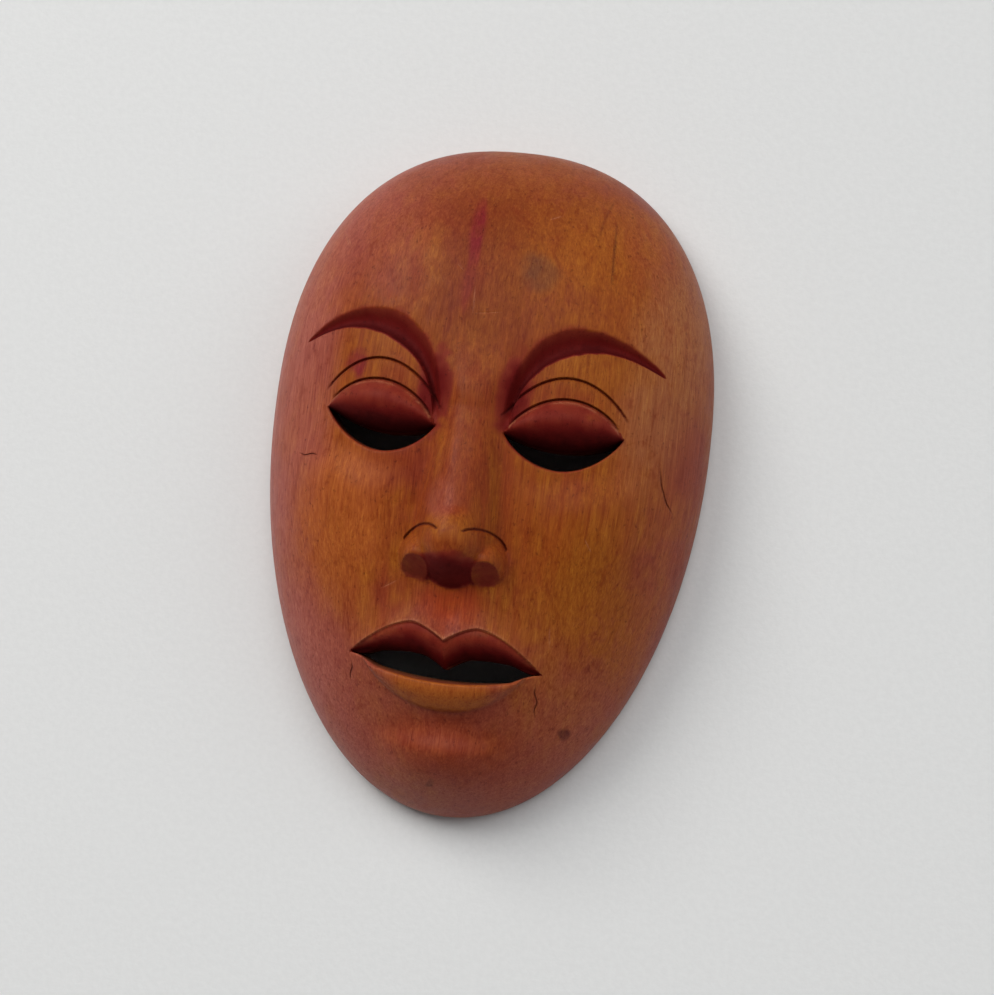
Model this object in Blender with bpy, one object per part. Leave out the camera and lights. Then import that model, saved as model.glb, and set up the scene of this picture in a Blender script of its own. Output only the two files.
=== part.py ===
"""Carved wooden face mask, hollowed at the back, lying face up on its flat rim.

+Z out of the face, +Y towards the forehead, origin on the floor under the mask's middle. The sizes are
in millimetres, and each mesh is brought to metres when it is made.
One piece of wood: a domed front with the carving, a hollow back and three slots cut right through.
The carving is a free relief that no primitive or modifier gives. Its height is worked out from the sizes
below, and its facets are laid by a triangulation that follows the carved lines. The front, the rim, the
slots' walls and the hollow share their vertices, so the solid is closed.
"""

import math

import bmesh
import bpy
import numpy as np
from mathutils import Vector
from mathutils.geometry import delaunay_2d_cdt
from mathutils.kdtree import KDTree

# Driving sizes of the blank.
MASK_HEIGHT = 250.0
MASK_WIDTH = 164.0
DOME_DEPTH = 58.0
RIM_WIDTH = 12.0
WALL = 11.0
RIM_ROUND = 1.5
SLOT_BEVEL = 1.4

# Notch in the rim's inner edge, where a nail in the wall carries the mask.
NOTCH_WIDTH = 12.0
NOTCH_REACH = 6.0
NOTCH_DEPTH = 5.5
NOTCH_CORNER = 1.5

# Form of the blank: the outline is an egg, fuller at the crown than at the chin.
WIDEST_SHARE = 0.08
CROWN_FULLNESS = 2.35
CHIN_FULLNESS = 2.02
DOME_FLATNESS = 2.5

# The carving is drawn on a face of this size and stretched to the blank, so it follows the blank's size.
DRAWN_HEIGHT = 250.0
DRAWN_WIDTH = 164.0
UNIT = MASK_HEIGHT / DRAWN_HEIGHT
UNIT_X = MASK_WIDTH / DRAWN_WIDTH

# Places by the usual canon: thirds from top edge to chin, fifths across.
BROW_LINE = DRAWN_HEIGHT / 6
NOSE_BASE = -DRAWN_HEIGHT / 6
EYE_LINE = 14.0
EYE_APART = DRAWN_WIDTH / 5
MOUTH_LINE = NOSE_BASE - DRAWN_HEIGHT / 9
CHIN_LINE = -104.0

# Eyes: lowered lids over open crescents.
EYE_HALF = 20.5
EYE_TILT = 2.0
LID_RISE = 13.0
LID_SAG = 4.6
SLOT_SAG = 12.2
LID_SWELL = 5.0
LID_TUCK = 6.4
SOCKET_DEPTH = 5.5
FOLD_GAP = 6.5

# Brows: one long gouge each, from beside the nose to the temple.
BROW_PATH = ((12.4, 13.0), (12.5, 45.0), (38.0, 60.0), (66.0, 40.0))
BROW_WIDTH = 9.4
BROW_START = 0.28
BROW_FULL_AT = 0.55
BROW_TAPER = 0.42
BROW_DEPTH = 3.2

# Nose: a straight bridge, a round tip and two wings, each wing cut flat from below for the nostril.
NOSE_ROOT = 20.0
NOSE_TIP = -29.0
NOSE_RISE = 18.0
BRIDGE_RISE = 16.5
ROOT_RISE = 5.0
ROOT_HALF = 11.5
TIP_HALF = 17.5
TIP_SIDE = 13.5
TIP_ABOVE = 18.0
TIP_BELOW = 14.5
WING_OUT = 11.8
WING_LINE = -33.5
WING_SIZE = 8.2
WING_RISE = 11.0
NOSTRIL_OUT = 10.5
NOSTRIL_LINE = -38.0
NOSTRIL_RISE = 5.2
NOSTRIL_SLOPE = 1.25
NOSTRIL_TURN = 0.22
NOSE_FILLET = 1.6
ROOT_FADE_TOP = BROW_LINE + 10.0
ROOT_FADE = 30.0

# Mouth: two upper lobes, an open slot and a plain lower lip.
MOUTH_HALF = 35.0
LIP_PEAK = 0.33
LIP_TOP = 13.6
BOW_NOTCH = 5.4
LIP_EDGE = 1.1
LIP_ROLL = 1.1
LIP_TUCK = 6.0
SLOT_SHARE = 0.97
SLOT_ARCH = 2.6
SLOT_DIP = 2.4
MOUTH_SAG = 7.2
LOWER_LIP = 17.0
LOWER_SWELL = 3.6

# Soft forms: place (out from the middle line, up), half width, half height and rise.
SOFT_FORMS = {
    "eye socket": (EYE_APART, EYE_LINE + 5.0, 38.0, 33.0, -SOCKET_DEPTH),
    "cheek": (47.0, -16.0, 34.0, 38.0, 3.2),
    "muzzle": (0.0, MOUTH_LINE + 1.0, 50.0, 30.0, 5.0),
    "philtrum": (0.0, MOUTH_LINE + 20.0, 6.5, 14.0, -1.5),
    "dip under the lip": (0.0, MOUTH_LINE - LOWER_LIP - 6.5, 30.0, 9.0, -2.6),
    "chin": (0.0, CHIN_LINE, 32.0, 22.0, 7.0),
}
HOLLOW_FORMS = {
    "behind the eye": (EYE_APART, EYE_LINE + 5.0, 38.0, 33.0, -SOCKET_DEPTH),
    "behind the nose": (0.0, -20.0, 17.0, 34.0, 7.0),
}

# Incised lines: their width and depth, and the arc over a nose wing as turns from +X in degrees.
INCISION = 1.3
INCISION_DEPTH = 1.0
WING_ARC_SIZE = 9.3
WING_ARC_TURNS = (128, 22)

# Facet sizes of this solid.
LINE_STEP = 2.5
LINE_NEAR = 2.0
PLAIN_STEP = 11.0
GROWTH = 0.55
BACK_STEP = 14.0
RIM_STEP = 7.8
SIDE_RINGS = (0.035, 0.09, 0.16)

WOOD_COLOUR = (0.26, 0.072, 0.026, 1.0)

MM = 0.001
MERGE = 1e-4

HALF_W = MASK_WIDTH / 2
MIDDLE_Y = MASK_HEIGHT * WIDEST_SHARE
UP = MASK_HEIGHT / 2 - MIDDLE_Y
DOWN = MASK_HEIGHT / 2 + MIDDLE_Y


def smooth(t):
    """Smooth step from 0 to 1."""
    t = np.clip(t, 0.0, 1.0)
    return t * t * (3.0 - 2.0 * t)


def mounds(forms, s, y):
    """The sum of some soft rises and dips with oval feet."""
    total = np.zeros(s.shape)
    for out, up, half_width, half_height, rise in forms.values():
        foot = ((s - out) / half_width) ** 2 + ((y - up) / half_height) ** 2
        total += rise * np.clip(1.0 - foot, 0.0, None) ** 2
    return total


def swell(a, b, k):
    """The higher of two heights, with a fillet of size k between them."""
    h = np.clip(0.5 + 0.5 * (a - b) / k, 0.0, 1.0)
    return b + (a - b) * h + k * h * (1.0 - h)


def egg(x, y, inset=0.0):
    """0 at the blank's middle and 1 on its outline, moved inwards by inset."""
    above = y > MIDDLE_Y
    reach = np.where(above, UP, DOWN) - inset
    power = np.where(above, CROWN_FULLNESS, CHIN_FULLNESS)
    return (np.abs(x / (HALF_W - inset)) ** power + np.abs((y - MIDDLE_Y) / reach) ** power) ** (1 / power)


def egg_outline(step, inset=0.0):
    """Points on the outline at even steps of about this length, with one at each of its four ends."""
    arcs = []
    for quarter in range(4):
        turn = np.linspace(quarter, quarter + 1, 1001) * math.pi / 2
        ray_x, ray_y = np.cos(turn), np.sin(turn)
        reach = 1.0 / egg(ray_x, MIDDLE_Y + ray_y, inset)
        arc = np.stack([ray_x * reach, MIDDLE_Y + ray_y * reach], 1)
        arcs.append(resampled(arc, step)[:-1])
    return np.concatenate(arcs)


def unroll(points, inset=0.0):
    """From the front view to the sheet laid flat, where the steep sides get their true breadth."""
    rho = np.clip(egg(points[:, 0], points[:, 1], inset), 1e-9, 1.0)
    grow = np.arcsin(rho) / rho
    return (points - [0, MIDDLE_Y]) * grow[:, None]


def roll_up(flat, inset=0.0):
    """Back from the flat sheet to the front view."""
    bend = np.clip(egg(flat[:, 0], flat[:, 1] + MIDDLE_Y, inset), 1e-9, math.pi / 2)
    return flat * (np.sin(bend) / bend)[:, None] + [0, MIDDLE_Y]


def dome(rho, depth):
    """Height of the plain blank."""
    return depth * np.sqrt(np.clip(1.0 - rho**DOME_FLATNESS, 0.0, 1.0))


def eye_share(s):
    """-1 at the inner corner of the eye and 1 at the outer one."""
    return (s - EYE_APART) / EYE_HALF


def eye_curves(share):
    """Upper lid line, lower edge of the lid and upper edge of the cheek."""
    arch = np.clip(1.0 - share**2, 0.0, 1.0)
    base = EYE_LINE + EYE_TILT * share
    return base + LID_RISE * arch**0.75, base - LID_SAG * arch, base - SLOT_SAG * arch**0.85


def mouth_curves(share):
    """Top of the upper lip, the slot's two edges and the foot of the lower lip."""
    m = np.clip(np.abs(share), 0.0, 1.0)
    lobe = np.where(
        m > LIP_PEAK,
        1.0 - (np.clip(m - LIP_PEAK, 0, 1) / (1 - LIP_PEAK)) ** 1.6,
        1.0 - BOW_NOTCH / LIP_TOP * (np.clip(LIP_PEAK - m, 0, 1) / LIP_PEAK) ** 1.5,
    )
    top = MOUTH_LINE + LIP_TOP * lobe
    point = np.clip(1 - m / 0.22, 0, 1) ** 1.3
    upper = MOUTH_LINE + SLOT_ARCH * np.sin(math.pi * m**0.8) - SLOT_DIP * point
    lower = MOUTH_LINE - MOUTH_SAG * (1.0 - m**2) ** 0.9
    foot = MOUTH_LINE - LOWER_LIP * np.clip(1.0 - (m / 0.86) ** 2.2, 0.0, 1.0) ** 0.9 - 0.5
    return top, upper, lower, foot


def bezier(corners, count):
    """Points along a cubic curve."""
    t = np.linspace(0, 1, count)[:, None]
    a, b, c, d = (np.array(p) for p in corners)
    return (1 - t) ** 3 * a + 3 * t * (1 - t) ** 2 * b + 3 * t**2 * (1 - t) * c + t**3 * d


def along(path, s, y):
    """Share along a path of the nearest point, and the signed distance to it, positive to its left."""
    best = np.full(s.shape, 1e9)
    share = np.zeros(s.shape)
    side = np.zeros(s.shape)
    for i in range(len(path) - 1):
        (ax, ay), (bx, by) = path[i], path[i + 1]
        dx, dy = bx - ax, by - ay
        t = np.clip(((s - ax) * dx + (y - ay) * dy) / (dx * dx + dy * dy), 0, 1)
        off_x, off_y = s - ax - t * dx, y - ay - t * dy
        distance = np.hypot(off_x, off_y)
        nearer = distance < best
        best = np.where(nearer, distance, best)
        share = np.where(nearer, (i + t) / (len(path) - 1), share)
        side = np.where(nearer, np.sign(dx * off_y - dy * off_x), side)
    return share, best * np.where(side == 0, 1, side)


def brow_width(share):
    """A gouge stroke: narrow at the nose, broad over the eye and pointed at the temple."""
    opening = BROW_START + (1 - BROW_START) * smooth(share / BROW_FULL_AT)
    return BROW_WIDTH * opening * np.clip((1 - share) / BROW_TAPER, 0, 1) ** 0.7


def brow_relief(s, y):
    """The brow's gouge, steep on its lower side and easing out above."""
    share, off = along(bezier(BROW_PATH, 41), s, y)
    width = np.maximum(brow_width(share), 1e-6)
    q = np.clip(0.5 + off / width, 0.0, 1.0)
    fade = smooth(share / 0.12) * np.clip((1 - share) / 0.3, 0, 1) ** 0.5
    return -BROW_DEPTH * fade * np.sin(math.pi * q**0.62)


def wing_relief(s, y):
    """A nose wing before its flat cut."""
    away = np.hypot((s - WING_OUT) / WING_SIZE, (y - WING_LINE) / (1.08 * WING_SIZE))
    return WING_RISE * np.clip(1.0 - away**2.4, 0.0, None)


def nostril_plane(s, y):
    """The flat cut for a nostril, a plane that faces down and outwards."""
    return NOSTRIL_RISE + NOSTRIL_SLOPE * (y - NOSTRIL_LINE) - NOSTRIL_TURN * (s - NOSTRIL_OUT)


def nose_relief(s, y):
    """Bridge, tip and wings."""
    down = np.clip((NOSE_ROOT - y) / (NOSE_ROOT - NOSE_TIP), 0.0, 1.0)
    rise = ROOT_RISE * smooth((ROOT_FADE_TOP - y) / ROOT_FADE) + (BRIDGE_RISE - ROOT_RISE) * down**1.2
    half = ROOT_HALF + (TIP_HALF - ROOT_HALF) * down + 6.0 * smooth((y - NOSE_ROOT) / 24)
    bridge = rise * np.clip(1.0 - np.abs(s / half) ** 2.2, 0.0, None) ** 1.25
    bridge = bridge * smooth((y - NOSE_BASE - 2) / 12)
    lengthwise = np.where(y < NOSE_TIP, TIP_BELOW, TIP_ABOVE)
    away = np.hypot(s / TIP_SIDE, (y - NOSE_TIP) / lengthwise)
    fullness = 2.7 - 0.8 * smooth((NOSE_TIP - y) / 10)
    tip = NOSE_RISE * np.clip(1.0 - away**fullness, 0.0, None)
    wing = np.minimum(wing_relief(s, y), np.maximum(nostril_plane(s, y), 0.0))
    return swell(swell(bridge, tip, 4.0), wing, 1.4)


def lid_relief(s, y):
    """The lowered lid swells out under its fold and turns in to the slot."""
    share = eye_share(s)
    fold, lid, cheek = eye_curves(share)
    inside = (np.abs(share) < 1.0) & (y < fold) & (y > (lid + cheek) / 2)
    t = np.clip((fold - y) / np.maximum(fold - lid, 1e-6), 0.0, 1.0)
    across = np.clip(1.0 - share**2, 0.0, 1.0) ** 0.5
    return np.where(inside, (LID_SWELL * 4 * t * (1 - t) - LID_TUCK * t**3) * across, 0.0)


def mouth_relief(s, y):
    """Two lobes that turn in to the slot, and the lower lip as a plain raised band."""
    m = s / MOUTH_HALF
    top, upper, lower, foot = mouth_curves(m)
    inside = m < 1.0
    taper = np.clip(1.0 - m**2, 0.0, 1.0) ** 0.5
    t = np.clip((top - y) / np.maximum(top - upper, 1e-6), 0.0, 1.0)
    under_edge = np.clip((top - y) / LIP_EDGE, 0.0, 1.0)
    lobes = 1.9 * np.clip(1.0 - ((m - 0.42) / 0.42) ** 2, -0.2, 1.0)
    upper_lip = (lobes * np.sin(math.pi * t**0.8) - 0.6 - LIP_TUCK * t**2) * under_edge
    roll = LIP_ROLL * np.exp(-np.clip(y - top, 0, None) / 3.0) * (1.0 - under_edge)
    q = np.clip((lower - y) / np.maximum(lower - foot, 1e-6), 0.0, 1.0)
    lower_lip = LOWER_SWELL * np.clip(1.0 - ((q - 0.42) / 0.66) ** 2, 0.0, 1.0)
    lower_lip = lower_lip * np.clip((y - foot) / LIP_EDGE, 0.0, 1.0)
    above_slot = y > (upper + lower) / 2
    return np.where(inside, np.where(above_slot, upper_lip + roll, lower_lip) * taper, 0.0)


def incised_paths():
    """Centre lines of the thin cuts: two lid folds and the arc over a nose wing."""
    share = np.linspace(-0.93, 0.93, 25)
    lower = np.stack([EYE_APART + EYE_HALF * share, eye_curves(share)[0]], 1)
    share = np.linspace(-1.02, 1.0, 27)
    arch = np.clip(1.0 - (share / 1.1) ** 2, 0.0, 1.0) ** 0.8
    fold = EYE_LINE + EYE_TILT * share + 1.0 + (LID_RISE + FOLD_GAP) * arch
    upper = np.stack([EYE_APART + (EYE_HALF + 1.5) * share, fold], 1)
    turn = np.radians(np.linspace(*WING_ARC_TURNS, 9))
    wing = WING_ARC_SIZE * np.stack([np.cos(turn), np.sin(turn)], 1) + [WING_OUT - 2.0, WING_LINE + 1.5]
    return [lower, upper, wing]


def incisions(s, y):
    """The thin cuts as narrow V grooves that fade at both ends."""
    form = np.zeros(s.shape)
    for path in incised_paths():
        share, off = along(path, s, y)
        fade = np.clip(np.minimum(share, 1 - share) / 0.1, 0, 1) ** 0.6
        groove = -INCISION_DEPTH * fade * np.clip(1 - np.abs(off) / (INCISION / 2), 0, 1)
        form = np.minimum(form, groove)
    return form


def front_height(x, y):
    """Height of the carved front over the floor."""
    s, v = np.abs(x) / UNIT_X, y / UNIT
    carving = swell(mounds(SOFT_FORMS, s, v), nose_relief(s, v) - 0.6, NOSE_FILLET)
    carving = carving + brow_relief(s, v) + lid_relief(s, v) + mouth_relief(s, v) + incisions(s, v)
    return RIM_ROUND + dome(egg(x, y), DOME_DEPTH - RIM_ROUND) + carving * UNIT


def hollow_height(x, y):
    """Height of the hollow's wall over the floor."""
    s, v = np.abs(x) / UNIT_X, y / UNIT
    return dome(egg(x, y, RIM_WIDTH), DOME_DEPTH - WALL) + mounds(HOLLOW_FORMS, s, v) * UNIT


def edge_by_rays(inside, centre, turns):
    """The outline, seen from a centre, of the area where inside holds."""
    reach = np.linspace(0, 24, 481)
    away_s, away_y = np.cos(turns)[:, None] * reach, np.sin(turns)[:, None] * reach
    held = inside(centre[0] + away_s, centre[1] + away_y)
    last = reach[held.shape[1] - 1 - np.argmax(held[:, ::-1], axis=1)]
    return np.stack([centre[0] + np.cos(turns) * last, centre[1] + np.sin(turns) * last], 1)


def mirrored(path):
    """A path of the right half on the blank, and its mirror image."""
    right = path * [UNIT_X, UNIT]
    return [right, right * [-1, 1]]


def resampled(path, step):
    """The path with even steps of about this length."""
    travelled = np.concatenate([[0], np.cumsum(np.linalg.norm(np.diff(path, axis=0), axis=1))])
    even = np.linspace(0, travelled[-1], max(2, round(travelled[-1] / step) + 1))
    return np.stack([np.interp(even, travelled, path[:, i]) for i in (0, 1)], 1)


def offset_path(path, distance):
    """A path moved to its left by a distance, or a row of distances."""
    ahead = np.gradient(path, axis=0)
    left = np.stack([-ahead[:, 1], ahead[:, 0]], 1) / np.linalg.norm(ahead, axis=1)[:, None]
    return path + left * np.reshape(distance, (-1, 1))


def slot_edges(step):
    """Upper and lower edges of the right eye slot and of the mouth slot, as drawn."""
    share = np.linspace(-1, 1, 161)
    _, lid, cheek = eye_curves(share)
    across = EYE_APART + EYE_HALF * share
    eye = [resampled(np.stack([across, edge], 1), step) for edge in (lid, cheek)]
    wide = np.linspace(-SLOT_SHARE, SLOT_SHARE, 241)
    _, upper, lower, _ = mouth_curves(wide)
    ends = smooth((SLOT_SHARE - np.abs(wide)) / 0.3)
    middle = (upper + lower) / 2
    mouth = []
    for edge in (upper, lower):
        whole = np.stack([MOUTH_HALF * wide, middle + (edge - middle) * ends], 1)
        mouth.append(resampled(whole, step))
    return eye, mouth


def slot_loops(step):
    """Closed outlines of both eye slots and the mouth slot, on the blank."""
    eye, mouth = (np.concatenate([top, bottom[-2:0:-1]]) for top, bottom in slot_edges(step))
    return [*mirrored(eye), mouth * [UNIT_X, UNIT]]


def lid_ladder(step):
    """Lines over the lid, level with the slot's upper edge."""
    top, _ = slot_edges(step)[0]
    share = eye_share(top[:, 0])
    rungs = np.abs(share) < 0.86
    fold, lid, _ = eye_curves(share[rungs])
    return [np.stack([top[rungs, 0], lid + (fold - lid) * part], 1) for part in (0.12, 0.32, 0.56, 0.8)]


def lip_ladder(step):
    """Lines over the upper and the lower lip, level with the slot's edges."""
    lines = []
    upper_edge, lower_edge = slot_edges(step)[1]
    for edge, parts, over in ((upper_edge, (0.15, 0.4, 0.7), True), (lower_edge, (0.25, 0.6), False)):
        share = edge[:, 0] / MOUTH_HALF
        rungs = np.abs(share) < 0.82
        top, _, _, foot = mouth_curves(share[rungs])
        far = top - LIP_EDGE if over else foot + LIP_EDGE
        near = edge[rungs, 1]
        lines += [np.stack([edge[rungs, 0], near + (far - near) * part], 1) for part in parts]
    return lines


def lip_lines(step):
    """The two lips' outer edges, each as a narrow step."""
    lines = []
    wide = np.linspace(0.0, 0.93, 80)
    top, _, _, foot = mouth_curves(wide)
    for edge, width, end in ((top, -LIP_EDGE, 0.93), (foot, LIP_EDGE, 0.8)):
        half = resampled(np.stack([MOUTH_HALF * wide, edge], 1)[wide < end], step)
        whole = np.concatenate([half[:0:-1] * [-1, 1], half])
        lines += [whole, whole + [0, width]]
    return lines


def ridge_lines(step):
    """Lines down the nose's bridge, level with each other."""
    rows = np.arange(NOSE_TIP + TIP_ABOVE / 2, ROOT_FADE_TOP, 1.6 * step)
    down = np.clip((NOSE_ROOT - rows) / (NOSE_ROOT - NOSE_TIP), 0, 1)
    half = ROOT_HALF + (TIP_HALF - ROOT_HALF) * down
    return [np.stack([half * part, rows], 1) for part in (0.0, 0.42, 0.85)]


def nose_foot(step):
    """The foot of the nose's lower half, from one side round to the other."""
    turns = np.radians(np.linspace(-90, 15, 36))
    half = edge_by_rays(lambda s, y: nose_relief(np.abs(s), y) > 0.7, (0.0, NOSE_TIP), turns)
    half = resampled(half, step)
    half[0, 0] = 0.0
    return np.concatenate([half[:0:-1] * [-1, 1], half])


def nostril_edge(step):
    """The edge of a nostril's flat cut."""
    turns = np.radians(np.linspace(-60, 200, 40))
    centre = (NOSTRIL_OUT, NOSTRIL_LINE)
    edge = edge_by_rays(lambda s, y: wing_relief(s, y) > nostril_plane(s, y), centre, turns)
    return resampled(edge, step)


def crease_lines(step):
    """Open lines that the facets follow, so that carved edges stay crisp, on the blank."""
    ridge, *beside_ridge = ridge_lines(step)
    whole = [ridge, nose_foot(step), *lip_lines(step), *lip_ladder(step)]
    right = [*beside_ridge, nostril_edge(step), *lid_ladder(step)]
    brow = resampled(bezier(BROW_PATH, 81), step)
    width = brow_width(np.linspace(0, 1, len(brow)))
    right += [offset_path(brow, q * width)[1:-1] for q in (-0.5, -0.34, -0.17, 0.14, 0.5)]
    for path in incised_paths():
        centre = resampled(path, step)
        right += [offset_path(centre, off) for off in (-INCISION / 2, 0.0, INCISION / 2)]
    lines = [path * [UNIT_X, UNIT] for path in whole]
    for path in right:
        lines += mirrored(path)
    return lines


def side_rings():
    """Closed rings on the mask's side, a little above the rim."""
    rim = unroll(egg_outline(RIM_STEP))
    closed = np.concatenate([rim, rim[:1]])
    return [roll_up(closed * (1 - share)) for share in SIDE_RINGS]


def in_loop(points, loop):
    """True for each point inside a closed outline."""
    inside = np.zeros(len(points), bool)
    x, y = points[:, 0], points[:, 1]
    for (ax, ay), (bx, by) in zip(loop, np.roll(loop, -1, axis=0)):
        if ay == by:
            continue
        crosses = (ay > y) != (by > y)
        inside ^= crosses & (x < (bx - ax) * (y - ay) / (by - ay) + ax)
    return inside


def tree_of(points):
    """A search tree over points of the plane."""
    tree = KDTree(len(points))
    for i, (x, y) in enumerate(points):
        tree.insert((x, y, 0), i)
    tree.balance()
    return tree


def fill_points(fixed, step_at, finest, coarsest, loops, inset):
    """Points on triangular grids, close together near the fixed points and far apart elsewhere."""
    reach = math.pi / 2
    chosen = np.array(fixed)
    found = []
    step = finest
    while step < coarsest * 1.42:
        rows = np.arange(-DOWN * reach, UP * reach, step * math.sqrt(0.75))
        columns = np.arange(-HALF_W * reach, HALF_W * reach, step)
        grid_x, grid_y = np.meshgrid(columns, rows)
        grid_x = grid_x + (np.arange(len(rows)) % 2)[:, None] * step / 2
        grid = np.stack([grid_x.ravel(), grid_y.ravel()], 1)
        bend = egg(grid[:, 0], grid[:, 1] + MIDDLE_Y, inset)
        grid = grid[bend < reach - 0.4 * step / HALF_W]
        wanted = step_at(grid)
        grid = grid[(wanted >= step) & ((wanted < step * 1.4143) | (step * 1.4143 >= coarsest * 1.42))]
        for loop in loops:
            grid = grid[~in_loop(grid, loop)]
        tree = tree_of(chosen)
        free = [p for p in grid if tree.find((p[0], p[1], 0))[2] > 0.72 * step]
        if free:
            found.append(np.array(free))
            chosen = np.concatenate([chosen, free])
        step *= 1.4142
    return np.concatenate(found)


def sheet(rim, loops, lines, step_at, finest, coarsest, inset=0.0):
    """Triangles over the outline with its holes: points in the front view, faces, places of fixed points."""
    flat_loops = [unroll(loop, inset) for loop in [rim, *loops]]
    flat_lines = [unroll(line, inset) for line in lines]
    fixed = np.concatenate([*flat_loops, *flat_lines])
    edges = []
    start = 0
    for loop in flat_loops:
        edges += [(start + i, start + (i + 1) % len(loop)) for i in range(len(loop))]
        start += len(loop)
    for line in flat_lines:
        edges += [(start + i, start + i + 1) for i in range(len(line) - 1)]
        start += len(line)
    fill = fill_points(fixed, step_at, finest, coarsest, flat_loops[1:], inset)
    points = [Vector(p) for p in np.concatenate([fixed, fill])]
    placed, _, faces, sources, _, _ = delaunay_2d_cdt(points, edges, [], 0, MERGE)
    placed = np.array(placed)
    corners = np.array(faces)
    middles = placed[corners].mean(axis=1)
    keep = np.ones(len(corners), bool)
    for loop in flat_loops[1:]:
        keep &= ~in_loop(middles, loop)
    index = {source: i for i, merged in enumerate(sources) for source in merged}
    return roll_up(placed, inset), corners[keep], index


def step_from_lines(points, near, growth, coarsest):
    """Wanted facet size at a place: small at the carved lines, larger away from them."""
    tree = tree_of(points)

    def step_at(grid):
        away = np.array([tree.find((x, y, 0))[2] for x, y in grid])
        return np.minimum(near + growth * away, coarsest)

    return step_at


def boundary_loops(bm):
    """The open edges of a sheet as ordered rings of vertices, longest first."""
    waiting = {v for e in bm.edges if e.is_boundary for v in e.verts}
    rings = []
    while waiting:
        first = min(waiting, key=lambda v: v.index)
        ring, last = [first], None
        while True:
            here = ring[-1]
            nexts = [e.other_vert(here) for e in here.link_edges if e.is_boundary]
            step = next((v for v in nexts if v is not last), None)
            if step is first or step is None:
                break
            last = here
            ring.append(step)
        waiting -= set(ring)
        rings.append(ring)
    return sorted(rings, key=len, reverse=True)


def bridge(bm, ring, places):
    """A band of faces from a ring to a new ring at the given places."""
    made = [bm.verts.new(p) for p in places]
    for i, vertex in enumerate(ring):
        after = (i + 1) % len(ring)
        bm.faces.new((vertex, made[i], made[after], ring[after]))
    return made


def rim_rings(ring):
    """Places of the rim's rings: rounded outer edge, flat face and the hollow's edge."""
    x = np.array([v.co.x for v in ring])
    y = np.array([v.co.y for v in ring]) - MIDDLE_Y
    rings = []
    for inset in (RIM_ROUND, RIM_WIDTH):
        shrink = 1.0 / egg(x, y + MIDDLE_Y, inset)
        rings.append([(a, b, 0.0) for a, b in zip(x * shrink, y * shrink + MIDDLE_Y)])
    return rings


def slot_back(ring):
    """Places of a slot's edge in the hollow: its lower edge rises a little, so that the cut is bevelled."""
    x = np.array([v.co.x for v in ring])
    y = np.array([v.co.y for v in ring])
    middle = (y.min() + y.max()) / 2
    y = y + SLOT_BEVEL * np.clip((middle - y) / (middle - y.min()), 0, 1) * (y < middle)
    return [tuple(p) for p in np.stack([x, y, hollow_height(x, y)], 1)]


def add_sheet(bm, points, faces, height, known):
    """Adds a sheet's faces at its heights. known gives the vertices that are already there."""
    heights = height(points[:, 0], points[:, 1])
    verts = {}
    for i in sorted({int(corner) for face in faces for corner in face}):
        verts[i] = known.get(i) or bm.verts.new((points[i, 0], points[i, 1], heights[i]))
    for face in faces:
        bm.faces.new([verts[corner] for corner in face])


def add_front(bm):
    """Lays the carved front and gives its outer ring and the rings of its slots."""
    loops = slot_loops(LINE_STEP)
    lines = crease_lines(LINE_STEP)
    near = LINE_NEAR * UNIT
    plain = PLAIN_STEP * UNIT
    tip = np.stack([np.linspace(-9, 9, 7), np.full(7, NOSE_TIP - 2.0)], 1) * [UNIT_X, UNIT]
    dense = np.concatenate([unroll(path) for path in [*loops, *lines, tip]])
    step_at = step_from_lines(dense, near, GROWTH, plain)
    points, faces, _ = sheet(egg_outline(RIM_STEP), loops, lines + side_rings(), step_at, near, plain)
    add_sheet(bm, points, faces, front_height, {})
    bm.verts.index_update()
    return boundary_loops(bm)


def add_hollow(bm, rings):
    """Lays the hollow between the rim's inner ring and the slots' back rings."""
    near = LINE_STEP * UNIT
    plain = BACK_STEP * UNIT
    rim, *slots = [np.array([v.co.xy for v in ring]) for ring in rings]
    dense = np.concatenate([unroll(slot, RIM_WIDTH) for slot in slots])
    step_at = step_from_lines(dense, near, GROWTH, plain)
    points, faces, index = sheet(rim, slots, [], step_at, near, plain, RIM_WIDTH)
    ring_verts = [v for ring in rings for v in ring]
    add_sheet(bm, points, faces, hollow_height, {index[i]: v for i, v in enumerate(ring_verts)})


def carved_mask():
    """The whole mask as one closed mesh."""
    bm = bmesh.new()
    outer, *slots = add_front(bm)
    round_edge, hollow_edge = rim_rings(outer)
    inner = bridge(bm, bridge(bm, outer, round_edge), hollow_edge)
    add_hollow(bm, [inner, *(bridge(bm, ring, slot_back(ring)) for ring in slots)])
    bmesh.ops.recalc_face_normals(bm, faces=bm.faces[:])
    bmesh.ops.scale(bm, vec=(MM, MM, MM), verts=bm.verts)
    mesh = bpy.data.meshes.new("carved_mask")
    bm.to_mesh(mesh)
    bm.free()
    return mesh


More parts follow.
